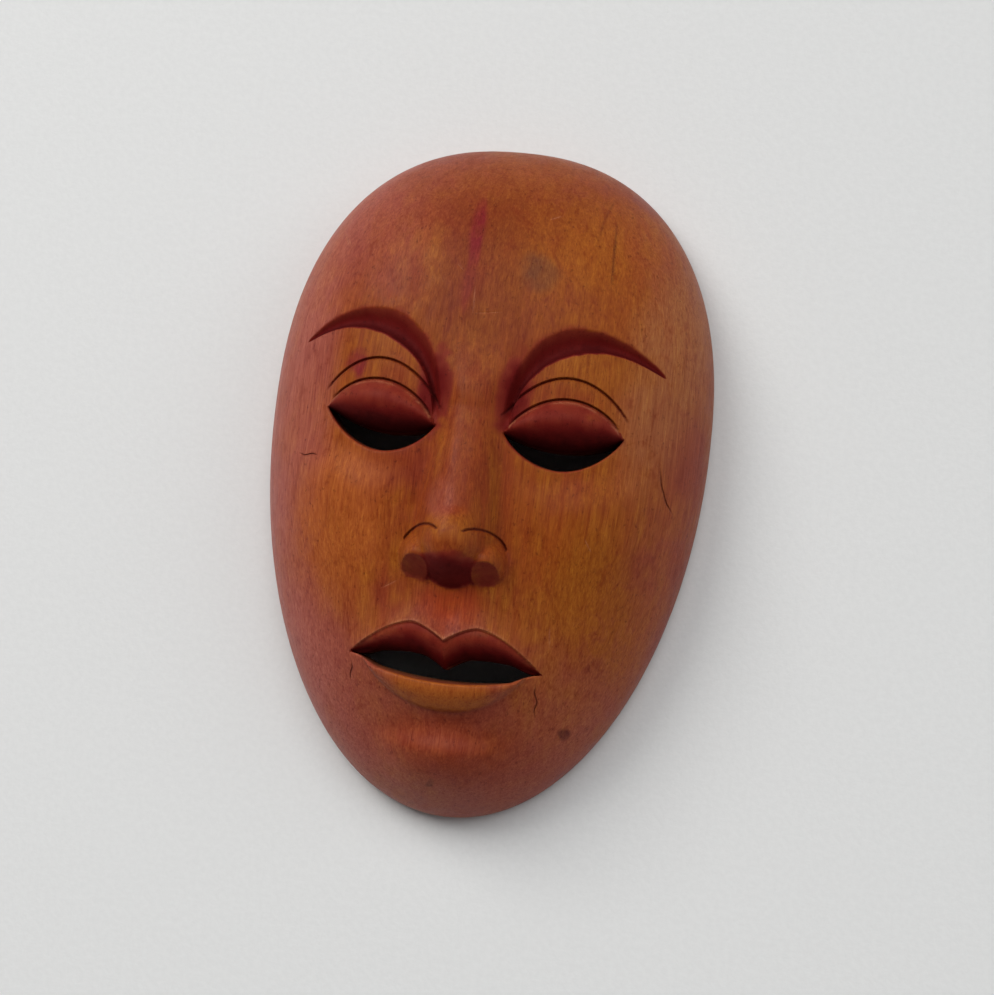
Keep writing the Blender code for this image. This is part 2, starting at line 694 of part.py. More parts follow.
def notch_cutter(collection):
    """The block that cuts the hanging notch into the rim's inner edge."""
    edge = MASK_HEIGHT / 2 - RIM_WIDTH
    length = NOTCH_REACH + RIM_WIDTH
    bm = bmesh.new()
    bmesh.ops.create_cube(bm, size=1.0)
    bmesh.ops.scale(bm, vec=(NOTCH_WIDTH, length, 2 * NOTCH_DEPTH), verts=bm.verts)
    bmesh.ops.translate(bm, vec=(0, edge + NOTCH_REACH - length / 2, 0), verts=bm.verts)
    upright = [e for e in bm.edges if e.verts[0].co.xy == e.verts[1].co.xy and e.verts[0].co.y > edge]
    bmesh.ops.bevel(bm, geom=upright, offset=NOTCH_CORNER, segments=4, affect="EDGES", profile=0.5)
    bmesh.ops.scale(bm, vec=(MM, MM, MM), verts=bm.verts)
    mesh = bpy.data.meshes.new("notch_cutter")
    bm.to_mesh(mesh)
    bm.free()
    cutter = bpy.data.objects.new("notch_cutter", mesh)
    cutter.hide_render = True
    cutter.display_type = "WIRE"
    collection.objects.link(cutter)
    return cutter


def red_hardwood():
    """Oiled reddish hardwood."""
    material = bpy.data.materials.new("red_hardwood")
    material.use_nodes = True
    shader = material.node_tree.nodes["Principled BSDF"]
    shader.inputs["Base Color"].default_value = WOOD_COLOUR
    shader.inputs["Roughness"].default_value = 0.42
    shader.inputs["Metallic"].default_value = 0.0
    material.diffuse_color = WOOD_COLOUR
    return material


def main():
    for obj in list(bpy.data.objects):
        bpy.data.objects.remove(obj)
    parts = bpy.data.collections.new("carved face mask")
    cutters = bpy.data.collections.new("cutters")
    for collection in (parts, cutters):
        bpy.context.scene.collection.children.link(collection)
    mask = bpy.data.objects.new("carved_mask", carved_mask())
    parts.objects.link(mask)
    mask.data.materials.append(red_hardwood())
    mask.data.shade_smooth()
    mask.data.set_sharp_from_angle(angle=math.radians(35))
    cut = mask.modifiers.new("hanging_notch", "BOOLEAN")
    cut.operation = "DIFFERENCE"
    cut.object = notch_cutter(cutters)


main()
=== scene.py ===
"""Looks of the carved wooden face mask: one finely carved and stained piece in place of the plain solid.

Sizes are in millimetres, worked out from the frame, and each mesh is brought to metres when it is made.
The mask lies face up on a pale floor, and the camera looks down on it.
"""

import math
from types import SimpleNamespace

import bmesh
import bpy
import numpy as np
from mathutils import Matrix, Vector
from mathutils.geometry import delaunay_2d_cdt
from mathutils.kdtree import KDTree


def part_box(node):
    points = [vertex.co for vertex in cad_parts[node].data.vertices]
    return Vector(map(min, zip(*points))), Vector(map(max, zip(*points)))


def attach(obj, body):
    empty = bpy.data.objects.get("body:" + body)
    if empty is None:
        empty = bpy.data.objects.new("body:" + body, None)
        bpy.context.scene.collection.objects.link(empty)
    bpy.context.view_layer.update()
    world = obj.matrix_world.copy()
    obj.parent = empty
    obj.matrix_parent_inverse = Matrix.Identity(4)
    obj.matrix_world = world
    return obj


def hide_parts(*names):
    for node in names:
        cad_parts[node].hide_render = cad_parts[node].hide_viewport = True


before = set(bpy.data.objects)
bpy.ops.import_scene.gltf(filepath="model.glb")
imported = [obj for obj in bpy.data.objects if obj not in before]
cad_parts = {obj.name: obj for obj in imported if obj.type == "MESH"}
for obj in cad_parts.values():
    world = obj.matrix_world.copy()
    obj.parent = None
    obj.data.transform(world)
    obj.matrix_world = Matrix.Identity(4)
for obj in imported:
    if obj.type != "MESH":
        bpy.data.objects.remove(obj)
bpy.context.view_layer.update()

MM = 0.001
MERGE = 1e-4
LOW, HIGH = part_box("carved_mask")

# Driving sizes of the blank, as in the solid.
MASK_HEIGHT = (HIGH.y - LOW.y) / MM
MASK_WIDTH = (HIGH.x - LOW.x) / MM
MASK_TOP = HIGH.z / MM
DOME_DEPTH = 58.0
RIM_WIDTH = 12.0
WALL = 11.0
RIM_ROUND = 1.5
SLOT_BEVEL = 1.4

# Notch in the rim's inner edge, where a nail in the wall carries the mask.
NOTCH_WIDTH = 12.0
NOTCH_REACH = 6.0
NOTCH_DEPTH = 5.5
NOTCH_CORNER = 1.5

# Form of the blank: the outline is an egg, fuller at the crown than at the chin.
WIDEST_SHARE = 0.08
CROWN_FULLNESS = 2.35
CHIN_FULLNESS = 2.02
DOME_FLATNESS = 2.5

# The carving is drawn on a face of this size and stretched to the blank, so it follows the blank's size.
DRAWN_HEIGHT = 250.0
DRAWN_WIDTH = 164.0
UNIT = MASK_HEIGHT / DRAWN_HEIGHT
UNIT_X = MASK_WIDTH / DRAWN_WIDTH

# Places by the usual canon: thirds from top edge to chin, fifths across.
BROW_LINE = DRAWN_HEIGHT / 6
NOSE_BASE = -DRAWN_HEIGHT / 6
EYE_LINE = 14.0
EYE_APART = DRAWN_WIDTH / 5
MOUTH_LINE = NOSE_BASE - DRAWN_HEIGHT / 9
CHIN_LINE = -104.0

# Eyes: lowered lids over open crescents.
EYE_HALF = 20.5
EYE_TILT = 2.0
LID_RISE = 13.0
LID_SAG = 4.6
SLOT_SAG = 12.2
LID_SWELL = 5.0
LID_TUCK = 6.4
SOCKET_DEPTH = 5.5
FOLD_GAP = 6.5

# Brows: one long gouge each, from beside the nose to the temple.
BROW_PATH = ((12.4, 13.0), (12.5, 45.0), (38.0, 60.0), (66.0, 40.0))
BROW_WIDTH = 9.4
BROW_START = 0.28
BROW_FULL_AT = 0.55
BROW_TAPER = 0.42
BROW_DEPTH = 3.2

# Nose: a straight bridge, a round tip and two wings, each wing cut flat from below for the nostril.
NOSE_ROOT = 20.0
NOSE_TIP = -29.0
NOSE_RISE = 18.0
BRIDGE_RISE = 16.5
ROOT_RISE = 5.0
ROOT_HALF = 11.5
TIP_HALF = 17.5
TIP_SIDE = 13.5
TIP_ABOVE = 18.0
TIP_BELOW = 14.5
WING_OUT = 11.8
WING_LINE = -33.5
WING_SIZE = 8.2
WING_RISE = 11.0
NOSTRIL_OUT = 10.5
NOSTRIL_LINE = -38.0
NOSTRIL_RISE = 5.2
NOSTRIL_SLOPE = 1.25
NOSTRIL_TURN = 0.22
NOSE_FILLET = 1.6
ROOT_FADE_TOP = BROW_LINE + 10.0
ROOT_FADE = 30.0

# Mouth: two upper lobes, an open slot and a plain lower lip.
MOUTH_HALF = 35.0
LIP_PEAK = 0.33
LIP_TOP = 13.6
BOW_NOTCH = 5.4
LIP_EDGE = 1.1
LIP_ROLL = 1.1
LIP_TUCK = 6.0
SLOT_SHARE = 0.97
SLOT_ARCH = 2.6
SLOT_DIP = 2.4
MOUTH_SAG = 7.2
LOWER_LIP = 17.0
LOWER_SWELL = 3.6

# Soft forms: place (out from the middle line, up), half width, half height and rise.
SOFT_FORMS = {
    "eye socket": (EYE_APART, EYE_LINE + 5.0, 38.0, 33.0, -SOCKET_DEPTH),
    "cheek": (47.0, -16.0, 34.0, 38.0, 3.2),
    "muzzle": (0.0, MOUTH_LINE + 1.0, 50.0, 30.0, 5.0),
    "philtrum": (0.0, MOUTH_LINE + 20.0, 6.5, 14.0, -1.5),
    "dip under the lip": (0.0, MOUTH_LINE - LOWER_LIP - 6.5, 30.0, 9.0, -2.6),
    "chin": (0.0, CHIN_LINE, 32.0, 22.0, 7.0),
}
HOLLOW_FORMS = {
    "behind the eye": (EYE_APART, EYE_LINE + 5.0, 38.0, 33.0, -SOCKET_DEPTH),
    "behind the nose": (0.0, -20.0, 17.0, 34.0, 7.0),
}

# Incised lines: their width and depth, and the arc over a nose wing as turns from +X in degrees.
INCISION = 1.3
INCISION_DEPTH = 1.0
WING_ARC_SIZE = 9.3
WING_ARC_TURNS = (128, 22)

# Facet sizes of this piece.
LINE_STEP = 0.75
LINE_NEAR = 0.55
PLAIN_STEP = 2.3
GROWTH = 0.17
BACK_STEP = 2.0
RIM_STEP = 1.6
SIDE_RINGS = (0.012, 0.03, 0.055)

# Worn edges: radius of the slots' front edges, and steps of each rounding.
SLOT_ROUND = 0.8
SLOT_ROUND_STEPS = (0.1, 0.28, 0.55, 0.8)
RIM_ROUND_STEPS = 5
SLOT_WALL_RINGS = 4
RIM_RINGS = 6

# Marks of the hand: drift of the carving, undulation and knife marks of the front, gouge strokes in the
# hollow. The front's fade within TIP_ROOM of the highest point, so that the nose keeps its height.
DRIFT = 0.7
DRIFT_LENGTH = 46.0
UNDULATION = 0.22
UNDULATION_LENGTH = 24.0
TIP_ROOM = 3.0
KNIFE_MARK = 0.07
KNIFE_LENGTH = 4.5
STROKE_WIDTH = 8.5
STROKE_LENGTH = 21.0
STROKE_DEPTH = 0.75

# Hairline cracks and light scratches: their courses on the front, and their width and depth.
CRACKS = (
    ((-63.5, -0.5), (-60.5, -1.6), (-57.5, -0.9), (-55.0, -1.5)),
    ((-33.6, -72.5), (-33.1, -75.0), (-33.9, -77.2), (-33.5, -80.0)),
    ((33.0, -72.5), (32.4, -75.5), (33.6, -79.0), (32.6, -82.0), (33.3, -84.5)),
    ((66.5, 10.0), (67.5, 3.0), (70.0, -3.5), (73.0, -7.5)),
)
CRACK_WIDTH = 0.5
CRACK_DEPTH = 0.5
SCRATCHES = (
    ((-59.0, 84.0), (-55.2, 76.6)),
    ((-56.6, 81.0), (-53.4, 75.5)),
    ((-3.5, 53.6), (6.5, 55.0)),
    ((-4.6, 64.0), (-4.0, 53.0)),
    ((17.6, 91.4), (22.8, 94.4)),
    ((36.4, -60.0), (35.7, -52.0)),
    ((-25.0, -46.2), (-18.8, -42.4)),
    ((44.0, -20.0), (47.5, -25.5)),
    ((-12.0, 71.0), (-9.4, 68.6)),
)
SCRATCH_WIDTH = 0.42
SCRATCH_DEPTH = 0.10

# Wood colours, as linear red, green and blue; some of them also paint shade and sheen.
GOLDEN = (0.31, 0.086, 0.009, 1.0)
ORANGE = (0.27, 0.055, 0.008, 1.0)
REDDISH = (0.215, 0.031, 0.009, 1.0)
# Rosy colour: painted sheen on the left edge and the nose bridge, and a rosier tone towards the chin.
ROSY_TONE_AND_SHEEN = (0.36, 0.098, 0.070, 1.0)
PURPLISH = (0.25, 0.048, 0.038, 1.0)
BROWNER = (0.19, 0.038, 0.007, 1.0)
BRIGHT_ORANGE = (0.38, 0.092, 0.018, 1.0)
TAN = (0.36, 0.130, 0.046, 1.0)
OCHRE = (0.36, 0.098, 0.012, 1.0)
OLIVE = (0.14, 0.045, 0.014, 1.0)
LIP_BROWN = (0.15, 0.032, 0.014, 1.0)
LIP_RED = (0.31, 0.036, 0.006, 1.0)
# These stain colours also paint the shade beside the nose root and under the nose tip.
STAIN_AND_SHADE = (0.190, 0.021, 0.010, 1.0)
MAROON = (0.118, 0.0048, 0.0038, 1.0)
DEEP_MAROON = (0.055, 0.0018, 0.0020, 1.0)
LINE_DARK = (0.070, 0.005, 0.004, 1.0)
CRIMSON = (0.19, 0.013, 0.015, 1.0)
GREY_BROWN = (0.125, 0.042, 0.021, 1.0)
DARK_RED = (0.085, 0.012, 0.008, 1.0)
UMBER = (0.060, 0.014, 0.006, 1.0)
REDDER = (0.74, 0.58, 0.60, 1.0)
LIGHTER = (1.24, 1.42, 1.30, 1.0)
SPECK = (0.46, 0.36, 0.42, 1.0)
BARE_EDGE = (0.42, 0.16, 0.075, 1.0)
RAW_WOOD = (0.16, 0.058, 0.024, 1.0)
RAW_DARK = (0.090, 0.028, 0.011, 1.0)

# Marks laid over the wood's colour, among them painted shade and painted sheen: place, half width, half
# height, turn in degrees, colour, strength and softness.
# A mark whose half width or half height is under SMALL_MARK gets finer facets.
MARKS = (
    ((28.0, 74.0), 24.0, 34.0, 0.0, GOLDEN, 0.55, 0.95),
    ((66.0, 46.0), 13.0, 42.0, -8.0, TAN, 0.60, 0.95),
    ((-2.0, 66.0), 18.0, 36.0, 0.0, BROWNER, 0.62, 0.95),
    # Painted shade: the forehead's top edge darkened.
    ((0.0, 108.0), 46.0, 22.0, 0.0, BROWNER, 0.50, 0.95),
    # Painted shade at the nose root and down the nose bridge.
    ((0.0, 24.0), 9.0, 15.0, 0.0, REDDISH, 0.60, 0.9),
    ((0.0, -4.0), 9.0, 20.0, 0.0, REDDISH, 0.55, 0.9),
    ((42.0, 41.0), 18.0, 10.0, 0.0, GOLDEN, 0.70, 0.9),
    ((-36.0, 41.0), 14.0, 9.0, 0.0, GOLDEN, 0.45, 0.9),
    ((50.0, -42.0), 14.0, 28.0, 8.0, GOLDEN, 0.70, 0.9),
    ((-44.0, -22.0), 18.0, 27.0, 0.0, BRIGHT_ORANGE, 0.78, 0.95),
    # Painted sheen along the left edge.
    ((-62.0, 30.0), 10.0, 40.0, 6.0, ROSY_TONE_AND_SHEEN, 0.45, 0.95),
    ((-42.0, 78.0), 16.0, 22.0, 20.0, PURPLISH, 0.40, 0.95),
    ((-24.0, -92.0), 16.0, 14.0, -20.0, PURPLISH, 0.35, 0.95),
    ((-1.0, -23.0), 8.0, 5.0, 0.0, GOLDEN, 0.75, 0.7),
    # Painted shade on the chin, darkening its upper part where it faces the light.
    ((5.0, -98.0), 25.0, 13.0, 0.0, REDDISH, 0.62, 0.9),
    ((14.0, 31.0), 5.0, 6.0, 0.0, REDDISH, 0.55, 0.8),
    # Painted sheen on the nose bridge.
    ((-5.5, -14.0), 5.0, 7.5, 0.0, ROSY_TONE_AND_SHEEN, 0.25, 0.8),
    ((1.5, -48.5), 10.0, 8.0, 0.0, LIP_RED, 0.60, 0.95),
    ((10.5, -60.5), 6.0, 3.0, -8.0, OLIVE, 0.65, 0.7),
    ((-15.0, -61.5), 6.5, 2.6, 8.0, LIP_BROWN, 0.55, 0.7),
    ((-7.5, 84.0), 2.5, 11.0, 1.0, CRIMSON, 0.95, 0.8),
    ((-7.0, 70.0), 1.8, 13.0, -1.0, CRIMSON, 0.75, 0.8),
    ((-6.0, 66.0), 4.0, 10.0, 0.0, REDDISH, 0.45, 0.8),
    ((18.4, 70.0), 6.6, 7.4, 0.0, GREY_BROWN, 0.46, 0.60),
    ((14.4, 73.0), 3.4, 4.2, 30.0, GREY_BROWN, 0.28, 0.7),
    ((-43.5, 33.5), 4.4, 4.4, 0.0, CRIMSON, 0.80, 0.7),
    ((-42.0, 27.0), 1.6, 6.0, 0.0, CRIMSON, 0.45, 0.8),
    ((-43.0, 43.0), 1.1, 6.5, 0.0, REDDISH, 0.50, 0.8),
    ((43.0, -88.0), 1.9, 2.3, 20.0, DARK_RED, 0.75, 0.7),
    ((-3.0, -112.5), 1.6, 1.1, -20.0, UMBER, 0.45, 0.7),
    ((42.0, 82.0), 0.55, 11.0, 1.5, UMBER, 0.50, 0.8),
    ((37.5, 97.0), 0.50, 9.0, -9.0, UMBER, 0.35, 0.8),
)
SMALL_MARK = 4.6

# Growth rings: a place on their axis, how often they come and how wavy they are.
RING_CENTRE = (-24.0, 0.0, 34.0)
RING_SCALE = 0.075
RING_WAVE = 2.4

# How strongly the oiled wood mirrors light, and its fine relief in metres.
SPECULAR = 0.08
RELIEF = 0.00018

# Floor: half its width and how far it is under the mask, in metres, and its colours.
FLOOR_HALF = 9.0
FLOOR_DROP = 0.0002
FLOOR_LIGHT = (0.755, 0.76, 0.755, 1.0)
FLOOR_SHADE = (0.735, 0.74, 0.735, 1.0)

# Lights: where the main one stands and what it faces, in metres, and the colours of the light.
KEY_AIM = (0, 0, 0.03)
KEY_PLACE = (-0.80, 0.72, 0.98)
WARM = (1.0, 0.985, 0.965)
COOL = (0.97, 0.985, 1.0)
WHITE = (1.0, 1.0, 1.0)
SKY = (0.95, 0.97, 1.0, 1.0)

# Camera: where it looks, from which side and how far in metres, and the mask's lean in the picture.
AIM = Vector((0.0088, -0.0076, 0.028))
SIDEWAYS = math.radians(8.0)
DOWNWAYS = math.radians(-5.0)
DISTANCE = 0.80
LEAN = math.radians(7.0)
LENS = 80.0

HALF_W = MASK_WIDTH / 2
MIDDLE_Y = MASK_HEIGHT * WIDEST_SHARE
UP = MASK_HEIGHT / 2 - MIDDLE_Y
DOWN = MASK_HEIGHT / 2 + MIDDLE_Y


def held(value):
    """A value kept from 0 to 1."""
    return np.clip(value, 0.0, 1.0)


def smooth(t):
    """Smooth step from 0 to 1."""
    t = held(t)
    return t * t * (3.0 - 2.0 * t)


def pairs(x, y):
    """Points of the plane, one row each, from their two coordinates."""
    return np.stack([x, y], 1)


def closed(loop):
    """A loop as a path that ends where it starts."""
    return np.concatenate([loop, loop[:1]])


def both_sides(half):
    """A path from the middle line outwards, with its mirror image before it."""
    return np.concatenate([half[:0:-1] * [-1, 1], half])


def mounds(forms, s, y):
    """The sum of some soft rises and dips with oval feet."""
    total = np.zeros(s.shape)
    for out, up, half_width, half_height, rise in forms.values():
        foot = ((s - out) / half_width) ** 2 + ((y - up) / half_height) ** 2
        total += rise * np.clip(1.0 - foot, 0.0, None) ** 2
    return total


def swell(a, b, k):
    """The higher of two heights, with a fillet of size k between them."""
    h = held(0.5 + 0.5 * (a - b) / k)
    return b + (a - b) * h + k * h * (1.0 - h)


def egg(x, y, inset=0.0):
    """0 at the blank's middle and 1 on its outline, moved inwards by inset."""
    above = y > MIDDLE_Y
    reach = np.where(above, UP, DOWN) - inset
    power = np.where(above, CROWN_FULLNESS, CHIN_FULLNESS)
    return (np.abs(x / (HALF_W - inset)) ** power + np.abs((y - MIDDLE_Y) / reach) ** power) ** (1 / power)


def resampled(path, step):
    """The path with even steps of about this length."""
    travelled = np.concatenate([[0], np.cumsum(np.linalg.norm(np.diff(path, axis=0), axis=1))])
    even = np.linspace(0, travelled[-1], max(2, round(travelled[-1] / step) + 1))
    return np.stack([np.interp(even, travelled, path[:, i]) for i in (0, 1)], 1)


def egg_outline(step):
    """Points on the outline at even steps of about this length, with one at each of its four ends."""
    arcs = []
    for quarter in range(4):
        turn = np.linspace(quarter, quarter + 1, 1001) * math.pi / 2
        ray_x, ray_y = np.cos(turn), np.sin(turn)
        reach = 1.0 / egg(ray_x, MIDDLE_Y + ray_y)
        arcs.append(resampled(pairs(ray_x * reach, MIDDLE_Y + ray_y * reach), step)[:-1])
    return np.concatenate(arcs)


def unroll(points, inset=0.0):
    """From the front view to the sheet laid flat, where the steep sides get their true breadth."""
    rho = np.clip(egg(points[:, 0], points[:, 1], inset), 1e-9, 1.0)
    grow = np.arcsin(rho) / rho
    return (points - [0, MIDDLE_Y]) * grow[:, None]


def roll_up(flat, inset=0.0):
    """Back from the flat sheet to the front view."""
    bend = np.clip(egg(flat[:, 0], flat[:, 1] + MIDDLE_Y, inset), 1e-9, math.pi / 2)
    return flat * (np.sin(bend) / bend)[:, None] + [0, MIDDLE_Y]


def dome(rho, depth):
    """Height of the plain blank."""
    return depth * np.sqrt(held(1.0 - rho**DOME_FLATNESS))


def eye_share(s):
    """-1 at the inner corner of the eye and 1 at the outer one."""
    return (s - EYE_APART) / EYE_HALF


def eye_curves(share):
    """Upper lid line, lower edge of the lid and upper edge of the cheek."""
    arch = held(1.0 - share**2)
    base = EYE_LINE + EYE_TILT * share
    return base + LID_RISE * arch**0.75, base - LID_SAG * arch, base - SLOT_SAG * arch**0.85


def mouth_curves(share):
    """Top of the upper lip, the slot's two edges and the foot of the lower lip."""
    m = held(np.abs(share))
    lobe = np.where(
        m > LIP_PEAK,
        1.0 - (held(m - LIP_PEAK) / (1 - LIP_PEAK)) ** 1.6,
        1.0 - BOW_NOTCH / LIP_TOP * (held(LIP_PEAK - m) / LIP_PEAK) ** 1.5,
    )
    top = MOUTH_LINE + LIP_TOP * lobe
    point = held(1 - m / 0.22) ** 1.3
    upper = MOUTH_LINE + SLOT_ARCH * np.sin(math.pi * m**0.8) - SLOT_DIP * point
    lower = MOUTH_LINE - MOUTH_SAG * (1.0 - m**2) ** 0.9
    foot = MOUTH_LINE - LOWER_LIP * held(1.0 - (m / 0.86) ** 2.2) ** 0.9 - 0.5
    return top, upper, lower, foot


def bezier(corners, count):
    """Points along a cubic curve."""
    t = np.linspace(0, 1, count)[:, None]
    a, b, c, d = (np.array(p) for p in corners)
    return (1 - t) ** 3 * a + 3 * t * (1 - t) ** 2 * b + 3 * t**2 * (1 - t) * c + t**3 * d


def along(path, s, y):
    """Share along a path of the nearest point, and the signed distance to it, positive to its left."""
    best = np.full(s.shape, 1e9)
    share = np.zeros(s.shape)
    side = np.zeros(s.shape)
    for i in range(len(path) - 1):
        (ax, ay), (bx, by) = path[i], path[i + 1]
        dx, dy = bx - ax, by - ay
        t = held(((s - ax) * dx + (y - ay) * dy) / (dx * dx + dy * dy))
        off_x, off_y = s - ax - t * dx, y - ay - t * dy
        distance = np.hypot(off_x, off_y)
        nearer = distance < best
        best = np.where(nearer, distance, best)
        share = np.where(nearer, (i + t) / (len(path) - 1), share)
        side = np.where(nearer, np.sign(dx * off_y - dy * off_x), side)
    return share, best * np.where(side == 0, 1, side)


def brow_width(share):
    """A gouge stroke: narrow at the nose, broad over the eye and pointed at the temple."""
    opening = BROW_START + (1 - BROW_START) * smooth(share / BROW_FULL_AT)
    return BROW_WIDTH * opening * held((1 - share) / BROW_TAPER) ** 0.7


def brow_relief(s, y):
    """The brow's gouge, steep on its lower side and easing out above."""
    share, off = along(bezier(BROW_PATH, 41), s, y)
    width = np.maximum(brow_width(share), 1e-6)
    q = held(0.5 + off / width)
    fade = smooth(share / 0.12) * held((1 - share) / 0.3) ** 0.5
    return -BROW_DEPTH * fade * np.sin(math.pi * q**0.62)


def wing_relief(s, y):
    """A nose wing before its flat cut."""
    away = np.hypot((s - WING_OUT) / WING_SIZE, (y - WING_LINE) / (1.08 * WING_SIZE))
    return WING_RISE * np.clip(1.0 - away**2.4, 0.0, None)


def nostril_plane(s, y):
    """The flat cut for a nostril, a plane that faces down and outwards."""
    return NOSTRIL_RISE + NOSTRIL_SLOPE * (y - NOSTRIL_LINE) - NOSTRIL_TURN * (s - NOSTRIL_OUT)


def nose_relief(s, y):
    """Bridge, tip and wings."""
    down = held((NOSE_ROOT - y) / (NOSE_ROOT - NOSE_TIP))
    rise = ROOT_RISE * smooth((ROOT_FADE_TOP - y) / ROOT_FADE) + (BRIDGE_RISE - ROOT_RISE) * down**1.2
    half = ROOT_HALF + (TIP_HALF - ROOT_HALF) * down + 6.0 * smooth((y - NOSE_ROOT) / 24)
    bridge = rise * np.clip(1.0 - np.abs(s / half) ** 2.2, 0.0, None) ** 1.25
    bridge = bridge * smooth((y - NOSE_BASE - 2) / 12)
    lengthwise = np.where(y < NOSE_TIP, TIP_BELOW, TIP_ABOVE)
    away = np.hypot(s / TIP_SIDE, (y - NOSE_TIP) / lengthwise)
    fullness = 2.7 - 0.8 * smooth((NOSE_TIP - y) / 10)
    tip = NOSE_RISE * np.clip(1.0 - away**fullness, 0.0, None)
    wing = np.minimum(wing_relief(s, y), np.maximum(nostril_plane(s, y), 0.0))
    return swell(swell(bridge, tip, 4.0), wing, 1.4)


def lid_relief(s, y):
    """The lowered lid swells out under its fold and turns in to the slot."""
    share = eye_share(s)
    fold, lid, cheek = eye_curves(share)
    inside = (np.abs(share) < 1.0) & (y < fold) & (y > (lid + cheek) / 2)
    t = held((fold - y) / np.maximum(fold - lid, 1e-6))
    across = held(1.0 - share**2) ** 0.5
    return np.where(inside, (LID_SWELL * 4 * t * (1 - t) - LID_TUCK * t**3) * across, 0.0)


def mouth_relief(s, y):
    """Two lobes that turn in to the slot, and the lower lip as a plain raised band."""
    m = s / MOUTH_HALF
    top, upper, lower, foot = mouth_curves(m)
    inside = m < 1.0
    taper = held(1.0 - m**2) ** 0.5
    t = held((top - y) / np.maximum(top - upper, 1e-6))
    under_edge = held((top - y) / LIP_EDGE)
    lobes = 1.9 * np.clip(1.0 - ((m - 0.42) / 0.42) ** 2, -0.2, 1.0)
    upper_lip = (lobes * np.sin(math.pi * t**0.8) - 0.6 - LIP_TUCK * t**2) * under_edge
    roll = LIP_ROLL * np.exp(-np.clip(y - top, 0, None) / 3.0) * (1.0 - under_edge)
    q = held((lower - y) / np.maximum(lower - foot, 1e-6))
    lower_lip = LOWER_SWELL * held(1.0 - ((q - 0.42) / 0.66) ** 2)
    lower_lip = lower_lip * held((y - foot) / LIP_EDGE)
    above_slot = y > (upper + lower) / 2
    return np.where(inside, np.where(above_slot, upper_lip + roll, lower_lip) * taper, 0.0)


def incised_paths():
    """Centre lines of the thin cuts: two lid folds and the arc over a nose wing."""
    share = np.linspace(-0.93, 0.93, 25)
    lower = pairs(EYE_APART + EYE_HALF * share, eye_curves(share)[0])
    share = np.linspace(-1.02, 1.0, 27)
    arch = held(1.0 - (share / 1.1) ** 2) ** 0.8
    fold = EYE_LINE + EYE_TILT * share + 1.0 + (LID_RISE + FOLD_GAP) * arch
    upper = pairs(EYE_APART + (EYE_HALF + 1.5) * share, fold)
    turn = np.radians(np.linspace(*WING_ARC_TURNS, 9))
    wing = WING_ARC_SIZE * pairs(np.cos(turn), np.sin(turn)) + [WING_OUT - 2.0, WING_LINE + 1.5]
    return [lower, upper, wing]


def incisions(s, y):
    """The thin cuts as narrow V grooves that fade at both ends."""
    form = np.zeros(s.shape)
    for path in incised_paths():
        share, off = along(path, s, y)
        fade = held(np.minimum(share, 1 - share) / 0.1) ** 0.6
        groove = -INCISION_DEPTH * fade * held(1 - np.abs(off) / (INCISION / 2))
        form = np.minimum(form, groove)
    return form


def edge_by_rays(inside, centre, turns):
    """The outline, seen from a centre, of the area where inside holds."""
    reach = np.linspace(0, 24, 481)
    away_s, away_y = np.cos(turns)[:, None] * reach, np.sin(turns)[:, None] * reach
    filled = inside(centre[0] + away_s, centre[1] + away_y)
    last = reach[filled.shape[1] - 1 - np.argmax(filled[:, ::-1], axis=1)]
    return pairs(centre[0] + np.cos(turns) * last, centre[1] + np.sin(turns) * last)


def mirrored(path):
    """A path of the right half on the blank, and its mirror image."""
    right = path * [UNIT_X, UNIT]
    return [right, right * [-1, 1]]


def offset_path(path, distance):
    """A path moved to its left by a distance, or a row of distances."""
    ahead = np.gradient(path, axis=0)
    left = pairs(-ahead[:, 1], ahead[:, 0]) / np.linalg.norm(ahead, axis=1)[:, None]
    return path + left * np.reshape(distance, (-1, 1))


def slot_edges(step):
    """Upper and lower edges of the right eye slot and of the mouth slot, as drawn."""
    share = np.linspace(-1, 1, 161)
    _, lid, cheek = eye_curves(share)
    across = EYE_APART + EYE_HALF * share
    eye = [resampled(pairs(across, edge), step) for edge in (lid, cheek)]
    wide = np.linspace(-SLOT_SHARE, SLOT_SHARE, 241)
    _, upper, lower, _ = mouth_curves(wide)
    ends = smooth((SLOT_SHARE - np.abs(wide)) / 0.3)
    middle = (upper + lower) / 2
    mouth = []
    for edge in (upper, lower):
        whole = pairs(MOUTH_HALF * wide, middle + (edge - middle) * ends)
        mouth.append(resampled(whole, step))
    return eye, mouth


def slot_loops(step):
    """Closed outlines of both eye slots and the mouth slot, on the blank."""
    eye, mouth = (np.concatenate([top, bottom[-2:0:-1]]) for top, bottom in slot_edges(step))
    return [*mirrored(eye), mouth * [UNIT_X, UNIT]]


def lid_ladder(step):
    """Lines over the lid, level with the slot's upper edge."""
    top, _ = slot_edges(step)[0]
    share = eye_share(top[:, 0])
    rungs = np.abs(share) < 0.86
    fold, lid, _ = eye_curves(share[rungs])
    return [pairs(top[rungs, 0], lid + (fold - lid) * part) for part in (0.12, 0.32, 0.56, 0.8)]


def lip_ladder(step):
    """Lines over the upper and the lower lip, level with the slot's edges."""
    lines = []
    upper_edge, lower_edge = slot_edges(step)[1]
    for edge, parts, over in ((upper_edge, (0.15, 0.4, 0.7), True), (lower_edge, (0.25, 0.6), False)):
        share = edge[:, 0] / MOUTH_HALF
        rungs = np.abs(share) < 0.82
        top, _, _, foot = mouth_curves(share[rungs])
        far = top - LIP_EDGE if over else foot + LIP_EDGE
        near = edge[rungs, 1]
        lines += [pairs(edge[rungs, 0], near + (far - near) * part) for part in parts]
    return lines


